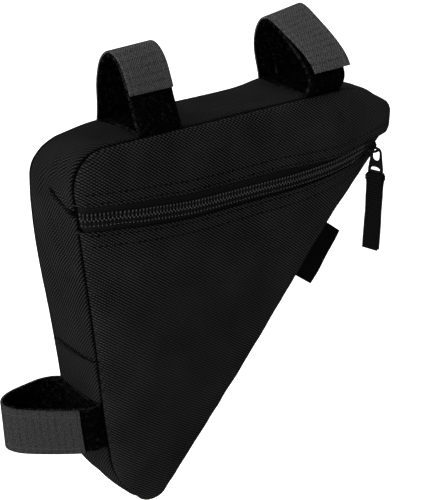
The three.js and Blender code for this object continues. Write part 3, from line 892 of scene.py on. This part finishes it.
def keep_beside_zip(bm, side):
    """Cuts the front skin along the zip, keeps one side and rolls its hem in."""
    for vert in bm.verts:
        vert.co.z = (vert.co.z - zip_height(vert.co.x)) / (zip_lip(vert.co.x, side) + HEM_ROLL)
    geometry = [*bm.verts, *bm.edges, *bm.faces]
    plane = {"plane_co": (0, 0, side), "plane_no": (0, 0, side)}
    bmesh.ops.bisect_plane(bm, geom=geometry, dist=1e-5, clear_inner=True, **plane)
    hem = [e for e in bm.edges if e.is_boundary and all(abs(v.co.z - side) < 1e-4 for v in e.verts)]
    for vert in bm.verts:
        vert.co.z = vert.co.z * (zip_lip(vert.co.x, side) + HEM_ROLL) + zip_height(vert.co.x)
    steps = 6
    for k in range(steps):
        turned = [math.pi * (k + i) / steps for i in (0, 1)]
        down = HEM_ROLL * (math.sin(turned[1]) - math.sin(turned[0]))
        inward = HEM_ROLL * (math.cos(turned[0]) - math.cos(turned[1]))
        made = bmesh.ops.extrude_edge_only(bm, edges=hem)["geom"]
        hem = [e for e in made if isinstance(e, bmesh.types.BMEdge)]
        verts = [v for v in made if isinstance(v, bmesh.types.BMVert)]
        bmesh.ops.translate(bm, vec=(0, inward, -side * down), verts=verts)
    flat_map(bm)
    face_away(bm)


def gusset_skin(start, end, grid):
    """A length of the gusset, with its ends turned down at the joins."""

    def place(u, v):
        distance = lerp(start, end, v)
        across, drop, crown = through(GUSSET_SECTION, abs(2 * u - 1))
        across = math.copysign(min(across, 1), u - 0.5)
        y = across * HALF_WIDTH
        at, out = station(distance)
        middle = 1 - smooth(abs(across), 0.85, 1)
        soft = ripple(distance, y, scale=16, height=0.7) * middle
        turned_down = JOIN_DIP * math.exp(-min(distance - start, end - distance) / JOIN_REACH)
        sunk = fold_depth(GUSSET_FOLDS, distance % ROUND, y) * middle + turned_down
        drop *= REAR_SEAM_INSET if across > 0 else 1
        rise = crown * GUSSET_CROWN - drop * SEAM_SINK + form_rise(distance, across) + soft - sunk
        return standing(at + out * rise, y), (distance, y)

    bm = sheet(*grid, place)
    face_away(bm)
    tuck = GUSSET_FOLDS[0]

    # The map for the twill's painted shade: distance from the front seam or from the tuck's middle line.
    # The rear edge is given SEAM_SINK, which is too far out to be shaded
    def from_seam(at, flat):
        tucked = from_line(Vector((flat.x % ROUND, flat.y)), tuck) * TUCK_SHADE_SLOPE + TUCK_SHADE_START
        return min(tucked, HALF_WIDTH - abs(at.y) if at.y < 0 else SEAM_SINK)

    seam_map(bm, from_seam)
    return bm


@cache
def front_tree():
    """The whole front face, as something to lay the zip and the stitching on."""
    bm = front_skin()
    tree = BVHTree.FromBMesh(bm)
    bm.free()
    return tree


def on_front(x, z):
    """The point of the front face seen at x and z, and its outward direction."""
    spot, out, _, _ = front_tree().ray_cast(Vector((x, -4 * GUSSET_WIDTH, z)), Vector((0, 1, 0)))
    if spot is None:
        return None, None
    return spot, out if out.y < 0 else -out


def front_ends(height):
    """The first and the last x at which the front face is met at a height that varies with x."""
    ends = []
    for x, step in ((-6, 0.25), (BAG_LENGTH + 6, -0.25)):
        while on_front(x, height(x))[0] is None:
            x += step
        ends.append(x)
    return ends


# Zip


SLIDER_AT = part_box("zip_slider")[0].lerp(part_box("zip_slider")[1], 0.5).x / MM - ORIGIN.x


def zip_ends(offset):
    return front_ends(lambda x: zip_height(x) + offset)


def tape_skin(side):
    """A tape behind its hem, with both ends turned in at the seams."""
    ends = {}

    def place(u, v):
        offset = side * lerp(0.15, TAPE_REACH, u)
        if offset not in ends:
            ends[offset] = zip_ends(offset)
        left, right = ends[offset]
        x = lerp(left - TAPE_TURNED_IN, right + TAPE_TURNED_IN, v)
        seen = min(max(x, left + 0.3), right - 0.3)
        spot, out = on_front(seen, zip_height(seen) + offset)
        inward = Vector((0.25 * (x - seen), 2.2 * abs(x - seen), 0))
        return spot - out * TAPE_DEPTH + inward, (x, offset)

    bm = sheet(*TAPE_GRID, place)
    face_away(bm)
    return bm


def zip_path(offset, depth):
    """Points along the zip up to the slider, with the way out of the bag at each."""
    left, right = zip_ends(offset)
    right = min(right, SLIDER_AT)
    path = []
    for x in spread(left + 0.2, right, 240):
        spot, out = on_front(x, zip_height(x) + offset)
        path.append((spot - out * depth, out))
    first, out = path[0]
    for inward in (0.7, 1.4, 2.1):
        path.insert(0, (first + Vector((0, inward, 0)), out))
    return path


def tooth():
    """One tooth of a coil: a bar with a bend at its foot and a broader head."""
    bm = bmesh.new()
    for end in TOOTH_ENDS:
        made = bmesh.ops.create_uvsphere(bm, u_segments=8, v_segments=6, radius=1)["verts"]
        bmesh.ops.scale(bm, vec=(end.along, end.across, end.high), verts=made)
        bmesh.ops.translate(bm, vec=(0, end.at, 0), verts=made)
    bar = bmesh.ops.create_cone(
        bm, cap_ends=True, segments=8, radius1=TOOTH_BAR, radius2=TOOTH_BAR, depth=TOOTH_BAR_LENGTH
    )["verts"]
    bmesh.ops.rotate(bm, cent=(0, 0, 0), matrix=Matrix.Rotation(math.radians(90), 3, "X"), verts=bar)
    bmesh.ops.translate(bm, vec=(0, 1.55, -0.12), verts=bar)
    bm.verts.index_update()
    return bm


def teeth(side, pitch):
    """One side's teeth, set half a pitch on from the other side's."""
    shift = Matrix.Translation((0 if side > 0 else pitch / 2, 0, 0))
    facing = shift @ Matrix.Diagonal((1, side, 1, 1))
    places = even_places(zip_path(0, COIL_DEPTH), pitch)
    bm = copies(tooth(), [place @ facing for place in places])
    bmesh.ops.recalc_face_normals(bm, faces=bm.faces)
    return bm


def coil_cords(side):
    """The rows of thread that hold a coil to its tape."""
    return joined(
        sewn(zip_path(side * cord.offset, CORD_DEPTH), CORD_STITCH, CORD_GAP, cord.thickness)
        for cord in CORDS
        if cord.side == side
    )


# Pull


HINGE = frame["joints"][0]


def webbing_line():
    """The webbing's course as rows of x, z and width: down one side of the slot and up the other."""
    slot_foot = PULLER_EYE_TOP - PULLER_EYE_HEIGHT - PULLER_BAR - PULLER_SLOT_HEIGHT
    puller_foot = slot_foot - 2 * PULLER_RIM
    foot = puller_foot - WEBBING_LENGTH + 2 * PULLER_RIM
    clear = PULLER_WALL / 2 + PIECE_GAP + WEBBING_WALL / 2
    together = WEBBING_WALL / 2 + 0.05
    over = slot_foot + PIECE_GAP + WEBBING_WALL / 2
    in_slot = SLOT_WIDTH - 2 * PIECE_GAP
    half = (
        (together, foot, WEBBING_WIDTH),
        (together, lerp(puller_foot, foot, 0.75), WEBBING_WIDTH * 1.01),
        (together, lerp(puller_foot, foot, 0.5), WEBBING_WIDTH * 0.97),
        (together, lerp(puller_foot, foot, 0.25), WEBBING_WIDTH * 0.98),
        (together, puller_foot - 3 * PULLER_RIM, WEBBING_WIDTH),
        (clear, puller_foot - PULLER_RIM, WEBBING_WIDTH * 1.03),
        (clear, slot_foot - 0.4 * PULLER_RIM, WEBBING_WIDTH * 0.96),
        (clear * 0.75, over, in_slot),
    )
    left = [(-x, z, width) for x, z, width in half]
    return [*left, (0, over + 0.3, in_slot), *half[::-1]], slot_foot


def webbing_skin():
    """The ribbed webbing, hanging from the slider's bridge."""
    wire = -Vector(HINGE["axis"])
    hinge = Matrix.Translation(Vector(HINGE["pos_m"]) / MM)
    turn = hinge @ Matrix.Rotation(math.atan2(wire.y, wire.x), 4, "Z")
    line, slot_foot = webbing_line()

    def place(u, v):
        x, z, width = through(line, v)
        before, after = (through(line, min(max(v + d, 0), 1)) for d in (-0.004, 0.004))
        run = Vector((after[0] - before[0], after[1] - before[1])).normalized()
        down = slot_foot - z
        rib = 0.5 + 0.5 * math.cos(math.tau * down / WEBBING_RIB)
        lift = 0.3 * rib + 0.15 * noise.noise(Vector((u, z / 6, 1)))
        edge = 0.97 + 0.09 * rib + 0.03 * noise.noise(Vector((0, z / 3, 5)))
        bent = 0.25 * math.sin(down / 13)
        y = (u - 0.5) * width * edge + 0.012 * down
        spot = Vector((x - run.y * lift + bent, y, z + run.x * lift))
        return turn @ spot, ((u - 0.5) * width, down)

    bm = sheet(*WEBBING_GRID, place)
    bmesh.ops.scale(bm, vec=(MM, MM, MM), verts=bm.verts)
    return bm


# Straps


# A closed strap. Its line goes from the near foot to the far one, across in shares of the gusset's
# width and up in shares of the loop's height. The ends are shares of that line, at which the outer
# pile, the hook band and the inner pile stop. Lean and climb turn the strap's width as it rises,
# flare lifts the hook band's end off the pile, and the skews carry each layer aside at the far foot.
Loop = namedtuple(
    "Loop",
    "height pile_end hook_end inner_end lean line climb flare inner_skew outer_skew",
    defaults=(0, 0, 0, 0),
)
Strap = namedtuple("Strap", "name side middle along paleness loop")
REAR_LINE = (
    (-0.455, 0), (-0.36, 0.22), (-0.25, 0.5), (-0.1, 0.83), (0.09, 0.97),
    (0.26, 0.86), (0.36, 0.55), (0.4, 0.25), (0.44, 0),
)
FRONT_LINE = (
    (-0.455, 0), (-0.53, 0.13), (-0.55, 0.26), (-0.44, 0.44), (-0.15, 0.7),
    (0.2, 0.92), (0.38, 0.95), (0.49, 0.75), (0.5, 0.4), (0.44, 0),
)
SEAT_LINE = (
    (-0.455, 0), (-0.42, 0.18), (-0.2, 0.46), (0.02, 0.69), (0.25, 0.88),
    (0.45, 0.93), (0.57, 0.8), (0.6, 0.5), (0.58, 0.15), (0.46, 0),
)
REAR_LOOP = Loop(34, 0.62, 0.235, 0.62, 0.04, REAR_LINE)
FRONT_LOOP = Loop(36, 0.7, 0.135, 0.998, 0.11, FRONT_LINE, flare=4, inner_skew=11, outer_skew=-0.5)
SEAT_LOOP = Loop(36, 0.78, 0.12, 0.78, -0.05, SEAT_LINE, climb=0.06)
# The fifth column scales each hook band's light tone as painted shade: much darker on the seat strap, which
# sits low on the bag, and a little darker on the rear top strap
STRAPS = (
    Strap("top_strap_rear", "top", 53.0, 1, 0.92, REAR_LOOP),
    Strap("top_strap_front", "top", 157.5, 1, 1, FRONT_LOOP),
    Strap("seat_strap", "seat", 143.5, -1, 0.58, SEAT_LOOP),
)


def from_corner(side, distance):
    """The distance round the outline of a place at a distance along a side from the rear top corner."""
    start, end = (SIDE[side].place(share)[0].length for share in (0, 1))
    return round_at(side, (distance - start) / (end - start))


class StrapLine:
    """The line that a closed strap takes round the tube."""

    def __init__(self, strap):
        self.strap = strap
        loop = strap.loop
        self.curve = EvenCurve([(a * GUSSET_WIDTH, h * loop.height) for a, h in loop.line])
        self.at, self.out = station(from_corner(strap.side, strap.middle))
        edges = spread(-1, 1, 16)
        front, rear = (self.curve.at(share).x for share in (0, 1))
        self.front_foot = [(edge, self.ground(edge, front)) for edge in edges]
        self.rear_foot = [(edge, self.ground(edge, rear)) for edge in edges]
        self.length = self.curve.lengths[-1]

    def lying(self, edge, y, lift):
        """A point over the gusset, at an edge share of the strap's width."""
        strap = self.strap
        distance = from_corner(strap.side, strap.middle + strap.along * edge * STRAP_WIDTH)
        at, out = station(distance)
        return at + out * (gusset_rise(distance, y / HALF_WIDTH) + lift)

    def ground(self, edge, y):
        """Height of the gusset at a foot, from the strap's own line through its middle."""
        return (self.lying(edge, y, 0) - self.at).dot(self.out)

    def place(self, edge, share, lift, skew=0):
        """A point of the strap, at an edge share of its width and a share of its line."""
        loop = self.strap.loop
        run = self.curve.run(share)
        at = self.curve.at(share) + Vector((-run.y, run.x)) * lift
        aside = skew * smooth(share, 0.5, 0.95)
        rear_foot = in_table(self.rear_foot, edge + aside / STRAP_WIDTH)
        ground = lerp(in_table(self.front_foot, edge), rear_foot, smooth(share, 0.3, 0.7))
        up = max(at.y / loop.height, 0)
        x = (edge + loop.climb * smooth(up, 0, 1)) * STRAP_WIDTH + aside
        top = loop.height * (1 + loop.lean * edge * smooth(up, 0, 1))
        high = ground + up * (top - ground)
        return standing(self.at + Vector((self.out.y, -self.out.x)) * x + self.out * high, at.x)


def band(line, start, end, lift, wave=0.0, skew=0):
    """A band of strap cloth between two shares of its line, at the middle of its wall."""

    def place(u, v):
        share = lerp(start, end, v)
        rough = wave * noise.noise(Vector((u * 2, v * 7, 3)))
        spot = line.place(u - 0.5, share, lift(share) + rough, skew)
        return spot, ((u - 0.5) * STRAP_WIDTH, share * line.length)

    bm = sheet(*STRAP_GRID, place)
    face_away(bm, standing(line.at + line.out * line.strap.loop.height / 2, 0))
    return bm


def sewn_band(line):
    """The stretch of a strap that lies across the gusset between its two feet."""
    front, rear = (line.curve.at(share).x for share in (0, 1))

    def place(u, v):
        y = lerp(front, rear, v)
        return standing(line.lying(u - 0.5, y, SEWN_LIFT), y), ((u - 0.5) * STRAP_WIDTH, y)

    bm = sheet(*SEWN_GRID, place)
    face_away(bm)
    return bm


def pile_lift(loop):
    """The pile band lies inside the loop's line, further in where it backs the hook band's far half."""
    return lambda share: PILE_WALL / 2 - PILE_WALL * smooth(share, loop.pile_end, loop.pile_end + 0.15)


def hook_lift(loop):
    """The hook band lies over the pile, with its end standing off and its foot let down."""

    def lift(share):
        closed = (PILE_WALL + PIECE_GAP) * (1 - smooth(share, loop.pile_end + 0.06, 0.97))
        opened = loop.flare * (1 - smooth(share, loop.hook_end - 0.05, loop.hook_end + 0.36))
        return closed + opened + HOOK_WALL / 2

    return lift


def pile_tufts(line, loop):
    """Short loops of yarn that stand out of the pile where the hook band leaves it bare."""
    dice = random.Random(line.strap.name)
    places = []
    for side, end, count in ((1, loop.hook_end + 0.02, OUTER_TUFTS), (-1, loop.pile_end, INNER_TUFTS)):
        for _ in range(count):
            share = dice.uniform(0.0, end)
            edge = dice.uniform(-0.45, 0.45)
            top = line.place(edge, share, PILE_WALL)
            low = line.place(edge, share, 0)
            along = line.place(edge, min(share + 0.004, 1), PILE_WALL) - top
            out = (top - low).normalized() * side
            lean = Vector((dice.uniform(-0.5, 0.5), dice.uniform(-0.5, 0.5), dice.uniform(-0.5, 0.5)))
            spin = Matrix.Rotation(dice.uniform(0, math.tau), 4, "Z")
            size = Matrix.Scale(dice.uniform(0.7, 1.2), 4)
            base = top if side > 0 else low
            places.append(set_square(base, along, (out + lean).normalized()) @ spin @ size)
    tuft = bmesh.new()
    cone = bmesh.ops.create_cone(tuft, segments=5, radius1=0.3, radius2=0.12, depth=0.75, cap_ends=True)
    bmesh.ops.translate(tuft, vec=(0, 0, 0.2), verts=cone["verts"])
    tuft.verts.index_update()
    return copies(tuft, places)


# Label and stitching


def label_skin():
    distance = round_at("slope", 1 - LABEL_AT / SIDE["slope"].length)
    at, out = station(distance)
    along = Vector((-out.y, out.x))
    seam = at + out * form_rise(distance, FRONT)

    def place(u, v):
        reach = v * LABEL_REACH * (1 + LABEL_TAPER * (0.5 - u))
        x = (u - 0.5) * LABEL_LENGTH + reach * LABEL_LEAN
        flap = 0.5 * v * v * math.sin(u * 4.2) + 0.25 * v * math.sin(u * 9)
        return standing(seam + along * x + out * reach, -SEAM_PLANE - flap), (x, reach)

    return sheet(*LABEL_GRID, place)


def hem_row(side, beyond):
    """A row of stitches along a hem of the zip."""

    def height(x):
        return zip_height(x) + side * (zip_lip(x, side) + beyond)

    left, right = front_ends(height)
    return [on_front(x, height(x)) for x in spread(left + 2, right - 2, 160)]


def gusset_row(places):
    """A row of stitches on the gusset, through places round the outline and across it."""
    path = []
    for distance, across in places:
        at, out = station(distance)
        spot = at + out * gusset_rise(distance, across)
        path.append((standing(spot, across * HALF_WIDTH), standing(out, 0)))
    return path


def seam_row(side):
    """A row beside the front seam, along one side of the bag."""
    return gusset_row((round_at(side, share), SEAM_ROW) for share in spread(0.02, 0.98, 120))


def join_row(distance):
    """A row across the gusset, beside the join of its two lengths."""
    return gusset_row((distance, across) for across in spread(-0.9, 0.9, 40))


# Settings


def length_setting(name, description, default):
    return bpy.props.FloatProperty(
        name=name, description=description, default=default * MM, min=0, unit="LENGTH", precision=5
    )


def colour_setting(name, description, level):
    return bpy.props.FloatVectorProperty(
        name=name, description=description, default=(level, level, level), subtype="COLOR", min=0, max=1
    )


class BagSizes(bpy.types.PropertyGroup):
    """Sizes of the cloth's detail."""

    weave: length_setting("Weave", "Distance between two ribs of the twill", 1.25)
    stitch: length_setting("Stitch", "Length of one stitch", 2.2)
    stitch_gap: length_setting("Stitch gap", "Cloth between two stitches", 0.9)
    thread: length_setting("Thread", "Thickness of the sewing thread", 0.6)
    skin: length_setting("Skin", "Thickness of the visible cloth", 0.8)
    tooth_pitch: length_setting("Tooth pitch", "Distance between two teeth of the zip", 1.9)


# The dark and the light tone that each finish mixes
Tones = namedtuple("Tones", "name dark light")
TONES = (
    Tones("cloth", 0.0006, 0.017),
    Tones("tape", 0.0008, 0.007),
    Tones("coil", 0.005, 0.017),
    Tones("hook", 0.002, 0.062),
    Tones("pile", 0.0003, 0.011),
    Tones("webbing", 0.0001, 0.0065),
    Tones("metal", 0.001, 0.006),
    Tones("label", 0.0004, 0.003),
    Tones("thread", 0.0001, 0.0012),
)


class BagLooks(bpy.types.PropertyGroup):
    """Colours of the bag."""

    floor: colour_setting("Floor", "Floor under the bag", 0.95)


for tones in TONES:
    for tone in ("dark", "light"):
        BagLooks.__annotations__[f"{tones.name}_{tone}"] = colour_setting(
            f"{tones.name.title()}, {tone}", f"The {tone} tone of the {tones.name}", getattr(tones, tone)
        )


# Operators, one for each group of pieces


class BAG_OT_panels(bpy.types.Operator):
    """Make the two stuffed faces, with the front one parted by the zip."""

    bl_idname = "bag.panels"
    bl_label = "Panels"

    def execute(self, context):
        sizes = context.scene.bag_sizes
        twill = twill_finish("panel twill", sizes.weave / MM, math.radians(PANEL_TWILL))
        cloth = [wall(sizes.skin / MM, -1)]
        skins = {}
        for name, side in (("front_panel_upper", 1), ("front_panel_lower", -1)):
            skins[name] = front_skin()
            keep_beside_zip(skins[name], side)
        skins["rear_panel"] = panel_skin(REAR, REAR_CROWN, REAR_FOLDS)
        flat_map(skins["rear_panel"])
        for name, bm in skins.items():
            piece = finish(bm, f"{name}_cloth", twill, modifiers=cloth, replaces=[name])
        return {"FINISHED"}


class BAG_OT_gusset(bpy.types.Operator):
    """Make the band of cloth between the two faces, in its two lengths."""

    bl_idname = "bag.gusset"
    bl_label = "Gusset"

    def execute(self, context):
        sizes = context.scene.bag_sizes
        twill = twill_finish("gusset twill", sizes.weave / MM, math.radians(GUSSET_TWILL))
        cloth = [wall(sizes.skin / MM, -1)]
        skins = {
            "gusset_upper": gusset_skin(NOSE_JOIN_AT, ROUND + SEAT_JOIN_AT, GUSSET_UPPER_GRID),
            "gusset_lower": gusset_skin(
                SEAT_JOIN_AT + PIECE_GAP, NOSE_JOIN_AT - PIECE_GAP, GUSSET_LOWER_GRID
            ),
        }
        for name, bm in skins.items():
            piece = finish(bm, f"{name}_cloth", twill, modifiers=cloth, replaces=[name])
        return {"FINISHED"}


class BAG_OT_zip(bpy.types.Operator):
    """Make the zip's tapes, its teeth and the threads that hold them."""

    bl_idname = "bag.zip"
    bl_label = "Zip"

    def execute(self, context):
        pitch = context.scene.bag_sizes.tooth_pitch / MM
        tape, coil = tape_finish(), coil_finish()
        for half, side in (("upper", 1), ("lower", -1)):
            cloth = finish(
                tape_skin(side), f"zip_tape_{half}_cloth", tape,
                modifiers=[wall(TAPE_WALL, -1)], replaces=[f"zip_tape_{half}"],
            )
            finish(teeth(side, pitch), f"zip_teeth_{half}", coil, replaces=[f"zip_coil_{half}"])
            finish(coil_cords(side), f"zip_cord_{half}", tape)
        return {"FINISHED"}


class BAG_OT_slider(bpy.types.Operator):
    """Round the edges of the slider and the puller, and finish them in black metal."""

    bl_idname = "bag.slider"
    bl_label = "Slider and puller"

    def execute(self, context):
        metal = metal_finish()
        for name, body, edge in (("zip_slider", "bag", 0.18), ("zip_puller", "pull", 0.2)):
            bm = bmesh.new()
            bm.from_mesh(frame["nodes"][name].data)
            bmesh.ops.remove_doubles(bm, verts=bm.verts, dist=0.01 * MM)
            bmesh.ops.dissolve_limit(bm, angle_limit=math.radians(1), verts=bm.verts, edges=bm.edges)
            finish(
                bm, f"{name}_metal", metal, body=body, modifiers=[rounded(edge)],
                replaces=[name], placed=True, sharp=50,
            )
        return {"FINISHED"}


class BAG_OT_pull(bpy.types.Operator):
    """Make the ribbed webbing that is doubled through the puller's slot."""

    bl_idname = "bag.pull"
    bl_label = "Webbing pull"

    def execute(self, context):
        finish(
            webbing_skin(), "pull_webbing_cloth", webbing_finish(), body="pull",
            modifiers=[wall(WEBBING_WALL * 0.82, 0), rounded(0.25)], replaces=["pull_webbing"],
            placed=True,
        )
        return {"FINISHED"}


class BAG_OT_straps(bpy.types.Operator):
    """Make the hook and pile bands of the three straps."""

    bl_idname = "bag.straps"
    bl_label = "Straps"

    def execute(self, context):
        pile = pile_finish()
        for strap in STRAPS:
            hook = hook_finish(f"{strap.name} hook band", strap.paleness)
            line = StrapLine(strap)
            loop = strap.loop
            finish(
                band(line, 0, loop.inner_end, pile_lift(loop), 0.25, loop.inner_skew),
                f"{strap.name}_pile_cloth", pile,
                modifiers=[wall(PILE_WALL, 0), rounded(0.5, 3)], replaces=[f"{strap.name}_pile"],
            )
            finish(
                band(line, loop.hook_end, 1, hook_lift(loop), 0, loop.outer_skew),
                f"{strap.name}_hook_cloth", hook,
                modifiers=[wall(HOOK_WALL, 0, 1), rounded(0.35)], replaces=[f"{strap.name}_hook"],
                inner=pile,
            )
            sewn_wall = [wall(HOOK_WALL, -1)]
            finish(sewn_band(line), f"{strap.name}_sewn_cloth", pile, modifiers=sewn_wall)
            finish(pile_tufts(line, loop), f"{strap.name}_tufts", pile)
        return {"FINISHED"}


class BAG_OT_label(bpy.types.Operator):
    """Make the bare side label that is sewn into the front seam."""

    bl_idname = "bag.label"
    bl_label = "Label"

    def execute(self, context):
        finish(
            label_skin(), "side_label_cloth", label_finish(),
            modifiers=[wall(LABEL_WALL, 0), rounded(0.2)], replaces=["side_label"],
        )
        return {"FINISHED"}


class BAG_OT_stitching(bpy.types.Operator):
    """Sew the hems, the seams and the joins of the gusset."""

    bl_idname = "bag.stitching"
    bl_label = "Stitching"

    def execute(self, context):
        sizes = context.scene.bag_sizes
        length, gap, thread = (s / MM for s in (sizes.stitch, sizes.stitch_gap, sizes.thread))
        rows = [hem_row(side, beyond) for side, beyond in HEM_ROWS]
        rows += [seam_row("top"), seam_row("seat")]
        for beyond in JOIN_ROWS:
            rows += [join_row(SEAT_JOIN_AT + beyond), join_row(NOSE_JOIN_AT + beyond)]
        bm = joined(sewn(row, length, gap, thread, STITCH_SINK) for row in rows)
        finish(bm, "stitching", thread_finish())
        return {"FINISHED"}


# Stage


CAMERA_AT = Vector((-0.36339, -0.42838, 0.14401))
CAMERA_TURN = (66.7625, 0.1513, -40.1552)
CAMERA_LENS = 83.5
SENSOR_WIDTH = 36
FLOOR_HEIGHT = -0.29
FLOOR_SIZE = 12
SKY_STRENGTH = 0.65
LAMPS_AIM = Vector((0, 0, -0.1))

Lamp = namedtuple("Lamp", "name at size power")
LAMPS = (
    Lamp("softbox_left", (-1.6, -0.2, 0.35), 1.1, 44),
    Lamp("softbox_right", (1.3, -1.0, 0.5), 1.2, 3),
    Lamp("softbox_top", (0.2, 0.3, 2.6), 3.2, 110),
    Lamp("softbox_back", (0.5, 1.4, 0.7), 1.2, 10),
)


class BAG_OT_stage(bpy.types.Operator):
    """Set the pale floor, the soft studio light and the camera."""

    bl_idname = "bag.stage"
    bl_label = "Stage"

    def execute(self, context):
        scene = context.scene
        bm = bmesh.new()
        bmesh.ops.create_grid(bm, x_segments=1, y_segments=1, size=FLOOR_SIZE)
        bmesh.ops.translate(bm, vec=(0, 0, FLOOR_HEIGHT), verts=bm.verts)
        mesh = bpy.data.meshes.new("floor")
        bm.to_mesh(mesh)
        bm.free()
        paint = Finish("floor paint", gloss=0.1, roughness=0.9)
        paint.shader.inputs["Base Color"].default_value = (*scene.bag_looks.floor, 1)
        mesh.materials.append(paint.material)
        floor = bpy.data.objects.new("floor", mesh)
        scene.collection.objects.link(floor)
        for lamp in LAMPS:
            light = bpy.data.lights.new(lamp.name, "AREA")
            light.energy = lamp.power
            light.size = lamp.size
            body = bpy.data.objects.new(lamp.name, light)
            body.location = lamp.at
            body.rotation_euler = (LAMPS_AIM - Vector(lamp.at)).to_track_quat("-Z", "Y").to_euler()
            scene.collection.objects.link(body)
        world = bpy.data.worlds.new("studio")
        world.use_nodes = True
        sky = world.node_tree.nodes["Background"]
        sky.inputs["Color"].default_value = (1, 1, 1, 1)
        sky.inputs["Strength"].default_value = SKY_STRENGTH
        scene.world = world
        scene.view_settings.view_transform = "Standard"
        lens = bpy.data.cameras.new("camera")
        lens.lens = CAMERA_LENS
        lens.sensor_width = SENSOR_WIDTH
        lens.clip_start = 0.01
        camera = bpy.data.objects.new("camera", lens)
        turn = Euler([math.radians(angle) for angle in CAMERA_TURN])
        camera.matrix_world = Matrix.LocRotScale(CAMERA_AT, turn, None)
        scene.collection.objects.link(camera)
        scene.camera = camera
        return {"FINISHED"}


# Sidebar and registration


STEPS = (
    BAG_OT_panels,
    BAG_OT_gusset,
    BAG_OT_zip,
    BAG_OT_slider,
    BAG_OT_pull,
    BAG_OT_straps,
    BAG_OT_label,
    BAG_OT_stitching,
    BAG_OT_stage,
)


class BAG_PT_sidebar(bpy.types.Panel):
    """The bag's steps and settings."""

    bl_idname = "BAG_PT_sidebar"
    bl_label = "Frame bag"
    bl_space_type = "VIEW_3D"
    bl_region_type = "UI"
    bl_category = "Frame bag"

    def draw(self, context):
        for step in STEPS:
            self.layout.operator(step.bl_idname)
        for group in (context.scene.bag_sizes, context.scene.bag_looks):
            for name in group.bl_rna.properties.keys():
                if name not in ("rna_type", "name"):
                    self.layout.prop(group, name)


CLASSES = (BagSizes, BagLooks, *STEPS, BAG_PT_sidebar)


def register():
    for cls in CLASSES:
        bpy.utils.register_class(cls)
    bpy.types.Scene.bag_sizes = bpy.props.PointerProperty(type=BagSizes)
    bpy.types.Scene.bag_looks = bpy.props.PointerProperty(type=BagLooks)


def unregister():
    del bpy.types.Scene.bag_looks
    del bpy.types.Scene.bag_sizes
    for cls in reversed(CLASSES):
        bpy.utils.unregister_class(cls)


def main():
    register()
    bpy.ops.bag.panels()
    bpy.ops.bag.gusset()
    bpy.ops.bag.zip()
    bpy.ops.bag.slider()
    bpy.ops.bag.pull()
    bpy.ops.bag.straps()
    bpy.ops.bag.label()
    bpy.ops.bag.stitching()
    bpy.ops.bag.stage()


if __name__ == "__main__":
    main()
